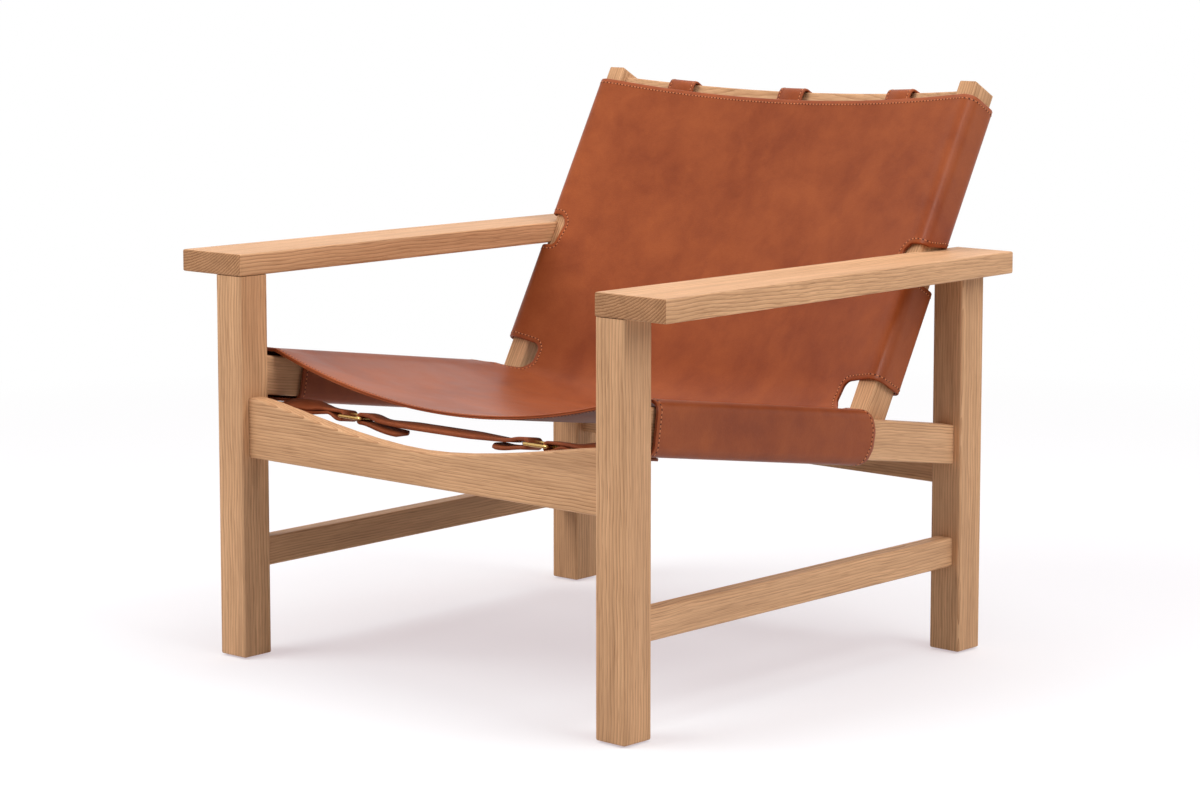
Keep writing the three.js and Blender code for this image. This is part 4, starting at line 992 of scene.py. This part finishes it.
def chape_path(length, overlap, drop):
    """A chape from its seam to the bar at the origin, round the bar and back under itself."""
    bend, meet = vec(-length + overlap, drop), vec(-CHAPE_MEET, FOLD)
    run = bend - meet
    away = vec(run[1], -run[0]) / np.linalg.norm(run) * (CHAPE_LAYER + CHAPE_PLAY)
    bow_out = bend - run * CHAPE_PULL + vec(0, CHAPE_BOW_SEAM)
    bow_in = meet + run * CHAPE_PULL + vec(0, CHAPE_BOW_BAR)
    half = -CHAPE_MEET / 2
    return path_points(
        ("to", (-length, drop)), ("to", bend), ("curve", bow_out, bow_in, meet), ("to", (0, FOLD)),
        ("arc", (0, 0), FOLD, 90, -180),
        ("curve", (half, -FOLD), (half, meet[1] - away[1]), meet - away),
        ("curve", bow_in - away, bow_out - away, bend - away - run * 0.08))


def tail_start(bar):
    """The start of a strap: its free tail, the way round the bar and back to its line."""
    return (("to", (bar + TAIL_LENGTH, -TAIL_DROP)),
            ("curve", (bar + TAIL_LENGTH / 2, -TAIL_DROP), (bar + TAIL_LENGTH / 3, -FOLD),
             (bar, -FOLD)),
            ("arc", (bar, 0), FOLD, -90, -180),
            ("curve", (bar + 20, FOLD), (bar + 20, 0), (bar + 40, 0)))


def dress_buckle(place, name, x, turned, anchor, overlap, drop, lean):
    """A buckle's frame at x, and the chape that holds it to the wrap at its anchor."""
    here = place @ Matrix.Translation((x * MM, 0, 0))
    if turned:
        here = here @ Matrix.Rotation(math.pi, 4, "Z")
    rod = rod_loop(f"{name}_buckle_rod", SPACING, STRAP_WIDTH + 2 * PLAY + BAR, ROD_CORNER, BAR / 2,
                   here, BRASS)
    settle(rod, f"{name}_frame")
    outer_bar = abs(x) + (-1 if (x < 0) == turned else 1) * SPACING / 2
    path = chape_path(anchor - outer_bar, overlap, drop)
    total = path_length(path)
    first, lap = (anchor - outer_bar - CHAPE_MEET) / total, overlap / total
    lean *= -1 if turned else 1
    turn = [(total * first * share, lean * amount) for share, amount in CHAPE_TURN]
    turn += [(total * (1 - (first * share - lap)), -lean * amount)
             for share, amount in CHAPE_TURN[::-1] if first * share > lap]
    chape = band(f"{name}_chape_band", path, CHAPE_LAYER, STRAP_WIDTH,
                 here @ Matrix.Translation((-SPACING / 2 * MM, 0, 0)), STRAP_LEATHER, twist=turn)
    declare(chape, f"{name}_chape")


wrap_bottom = -RAIL_DEPTH - STAND - LEATHER / 2
station = above_rail(SEAT_STRAP_Y, wrap_bottom - FIT - STRAP / 2 - SEAT_DROP)
seat_set = (Matrix.Translation((0, (station[0] + SHIFT) * MM, station[1] * MM))
            @ Matrix.Rotation(SLOPE_ANGLE, 4, "X"))
for side_name, x, turned in (("right", RIGHT_BUCKLE, False), ("left", LEFT_BUCKLE, True)):
    dress_buckle(seat_set, f"seat_strap_{side_name}", x, turned, SEAT_ANCHOR, SEAT_OVERLAP,
                 SEAT_DROP, CHAPE_LEAN)
first_bar, last_bar = RIGHT_BUCKLE + SPACING / 2, LEFT_BUCKLE - SPACING / 2
centre_path = path_points(
    *tail_start(first_bar), ("to", (last_bar - 40, 0)),
    ("curve", (last_bar - 20, 0), (last_bar - 20, FOLD), (last_bar, FOLD)),
    ("arc", (last_bar, 0), FOLD, 90, -180),
    ("curve", (last_bar - 22, -FOLD), (last_bar - 34, -TAIL_DROP), (last_bar - 58, -6.0)))
centre_length = path_length(centre_path)
centre_strap = band("seat_strap_centre_band", centre_path, STRAP, STRAP_WIDTH, seat_set,
                    STRAP_LEATHER, (True, True),
                    [(centre_length * share, turn) for share, turn in CENTRE_TURN])
declare(centre_strap, "seat_strap_centre")

for set_name, along in BACK_SETS:
    behind = POST_D + STAND + LEATHER / 2 + FIT + STRAP / 2 + BACK_DROP
    place = (back_plane @ Matrix.Translation((0, behind * MM, along * MM))
             @ Matrix.Rotation(math.pi / 2, 4, "X"))
    base = f"back_strap_{set_name}"
    dress_buckle(place, base, BACK_BUCKLE, False, BACK_ANCHOR, BACK_OVERLAP, BACK_DROP, 0.0)
    seam = BACK_ANCHOR - BACK_OVERLAP
    path = path_points(*tail_start(BACK_BUCKLE + SPACING / 2), ("to", (seam, BACK_DROP)),
                       ("to", (BACK_ANCHOR, BACK_DROP)))
    strap = band(f"{base}_long_band", path, STRAP, STRAP_WIDTH, place, STRAP_LEATHER, (True, False))
    declare(strap, f"{base}_long")


# Camera at the photograph's viewpoint: focal length and shift in the photo's pixels, degrees
PHOTO_WIDTH, FOCAL, PHOTO_SHIFT, SENSOR = 1200, 3096.9, -107.2, 36.0
CAMERA_PLACE = 2.5725, (-2854.1 + SHIFT) * MM, 0.9046
CAMERA_PITCH, CAMERA_TURN = 90 - 6.66, 42.01
camera_data = bpy.data.cameras.new("camera")
camera_data.sensor_width = SENSOR
camera_data.lens = FOCAL / PHOTO_WIDTH * SENSOR
camera_data.shift_y = PHOTO_SHIFT / PHOTO_WIDTH
camera_data.clip_end = 60.0
camera = bpy.data.objects.new("camera", camera_data)
camera.location = CAMERA_PLACE
camera.rotation_euler = (math.radians(CAMERA_PITCH), 0, math.radians(CAMERA_TURN))
bpy.context.scene.collection.objects.link(camera)
bpy.context.scene.camera = camera

# The floor's half size, its height and the ring in which it turns white, in metres
FLOOR_HALF, FLOOR_HEIGHT, WHITE_FROM, WHITE_TO = 30, -0.0004, 0.9, 2.6
# The world's strength for the rays that light the scene
WORLD_LIGHT = 0.34


def white_floor():
    """A plain pale floor that keeps the chair's shadow and turns white further off."""
    n = Nodes("pale_floor")
    diffuse = n.add("ShaderNodeBsdfDiffuse", {"Color": (0.46, 0.51, 0.51, 1)})
    glow = n.add("ShaderNodeEmission", {"Color": (0.535, 0.463, 0.481, 1)})
    both = n.add("ShaderNodeAddShader", {0: diffuse.outputs[0], 1: glow.outputs[0]})
    away = n.map_range(n.vector("LENGTH", n.coordinates("Object"), output="Value"),
                       WHITE_FROM, WHITE_TO)
    white = n.add("ShaderNodeEmission", {"Color": (1, 1, 1, 1)})
    fading = n.add("ShaderNodeMixShader", {0: away, 1: both.outputs[0], 2: white.outputs[0]})
    plain = n.add("ShaderNodeBsdfDiffuse", {"Color": (0.6, 0.6, 0.6, 1)})
    shown = {0: n.seen_rays(), 1: plain.outputs[0], 2: fading.outputs[0]}
    n.connect(n.add("ShaderNodeMixShader", shown).outputs[0],
              n.tree.nodes["Material Output"].inputs["Surface"])
    corners = [(-1, -1), (1, -1), (1, 1), (-1, 1)]
    floor = new_mesh("floor", [(x * FLOOR_HALF, y * FLOOR_HALF, FLOOR_HEIGHT) for x, y in corners],
                     [[0, 1, 2, 3]], [n.material], shade=False)


def area_light(name, position, target, size, power, mirrored=True, lighting=True):
    """A rectangular lamp. It can be kept out of reflections, or be seen in them only."""
    data = bpy.data.lights.new(name, "AREA")
    data.shape = "RECTANGLE"
    data.size, data.size_y = size
    data.energy = power
    lamp = bpy.data.objects.new(name, data)
    lamp.location = position
    lamp.visible_glossy = mirrored
    lamp.visible_diffuse = lighting
    way = Vector(target) - Vector(position)
    lamp.rotation_euler = way.to_track_quat("-Z", "Y").to_euler()
    bpy.context.scene.collection.objects.link(lamp)


white_floor()
area_light("key", (-1.8, -3.0, 3.0), (0, 0, 0.4), (2.8, 2.8), 112, mirrored=False)
area_light("right", (3.4, 0.4, 2.8), (0, 0, 0.4), (2.6, 2.6), 80, mirrored=False)
area_light("glint", (2.4, -2.1, 2.3), (0.3, 0, 0.5), (0.35, 1.2), 60, lighting=False)
area_light("top", (0.2, 0.6, 3.6), (0, 0, 0.3), (3.0, 3.0), 64)

# A white studio that lights less than it shows
world = bpy.data.worlds.new("studio")
world.use_nodes = True
bpy.context.scene.world = world
studio = Nodes(tree=world.node_tree)
background = studio.tree.nodes["Background"]
background.inputs["Color"].default_value = (1.0, 1.0, 1.0, 1)
studio.connect(studio.map_range(studio.seen_rays(), 0.0, 1.0, WORLD_LIGHT, 1.0),
               background.inputs["Strength"])

bpy.context.scene.view_settings.view_transform = "Standard"
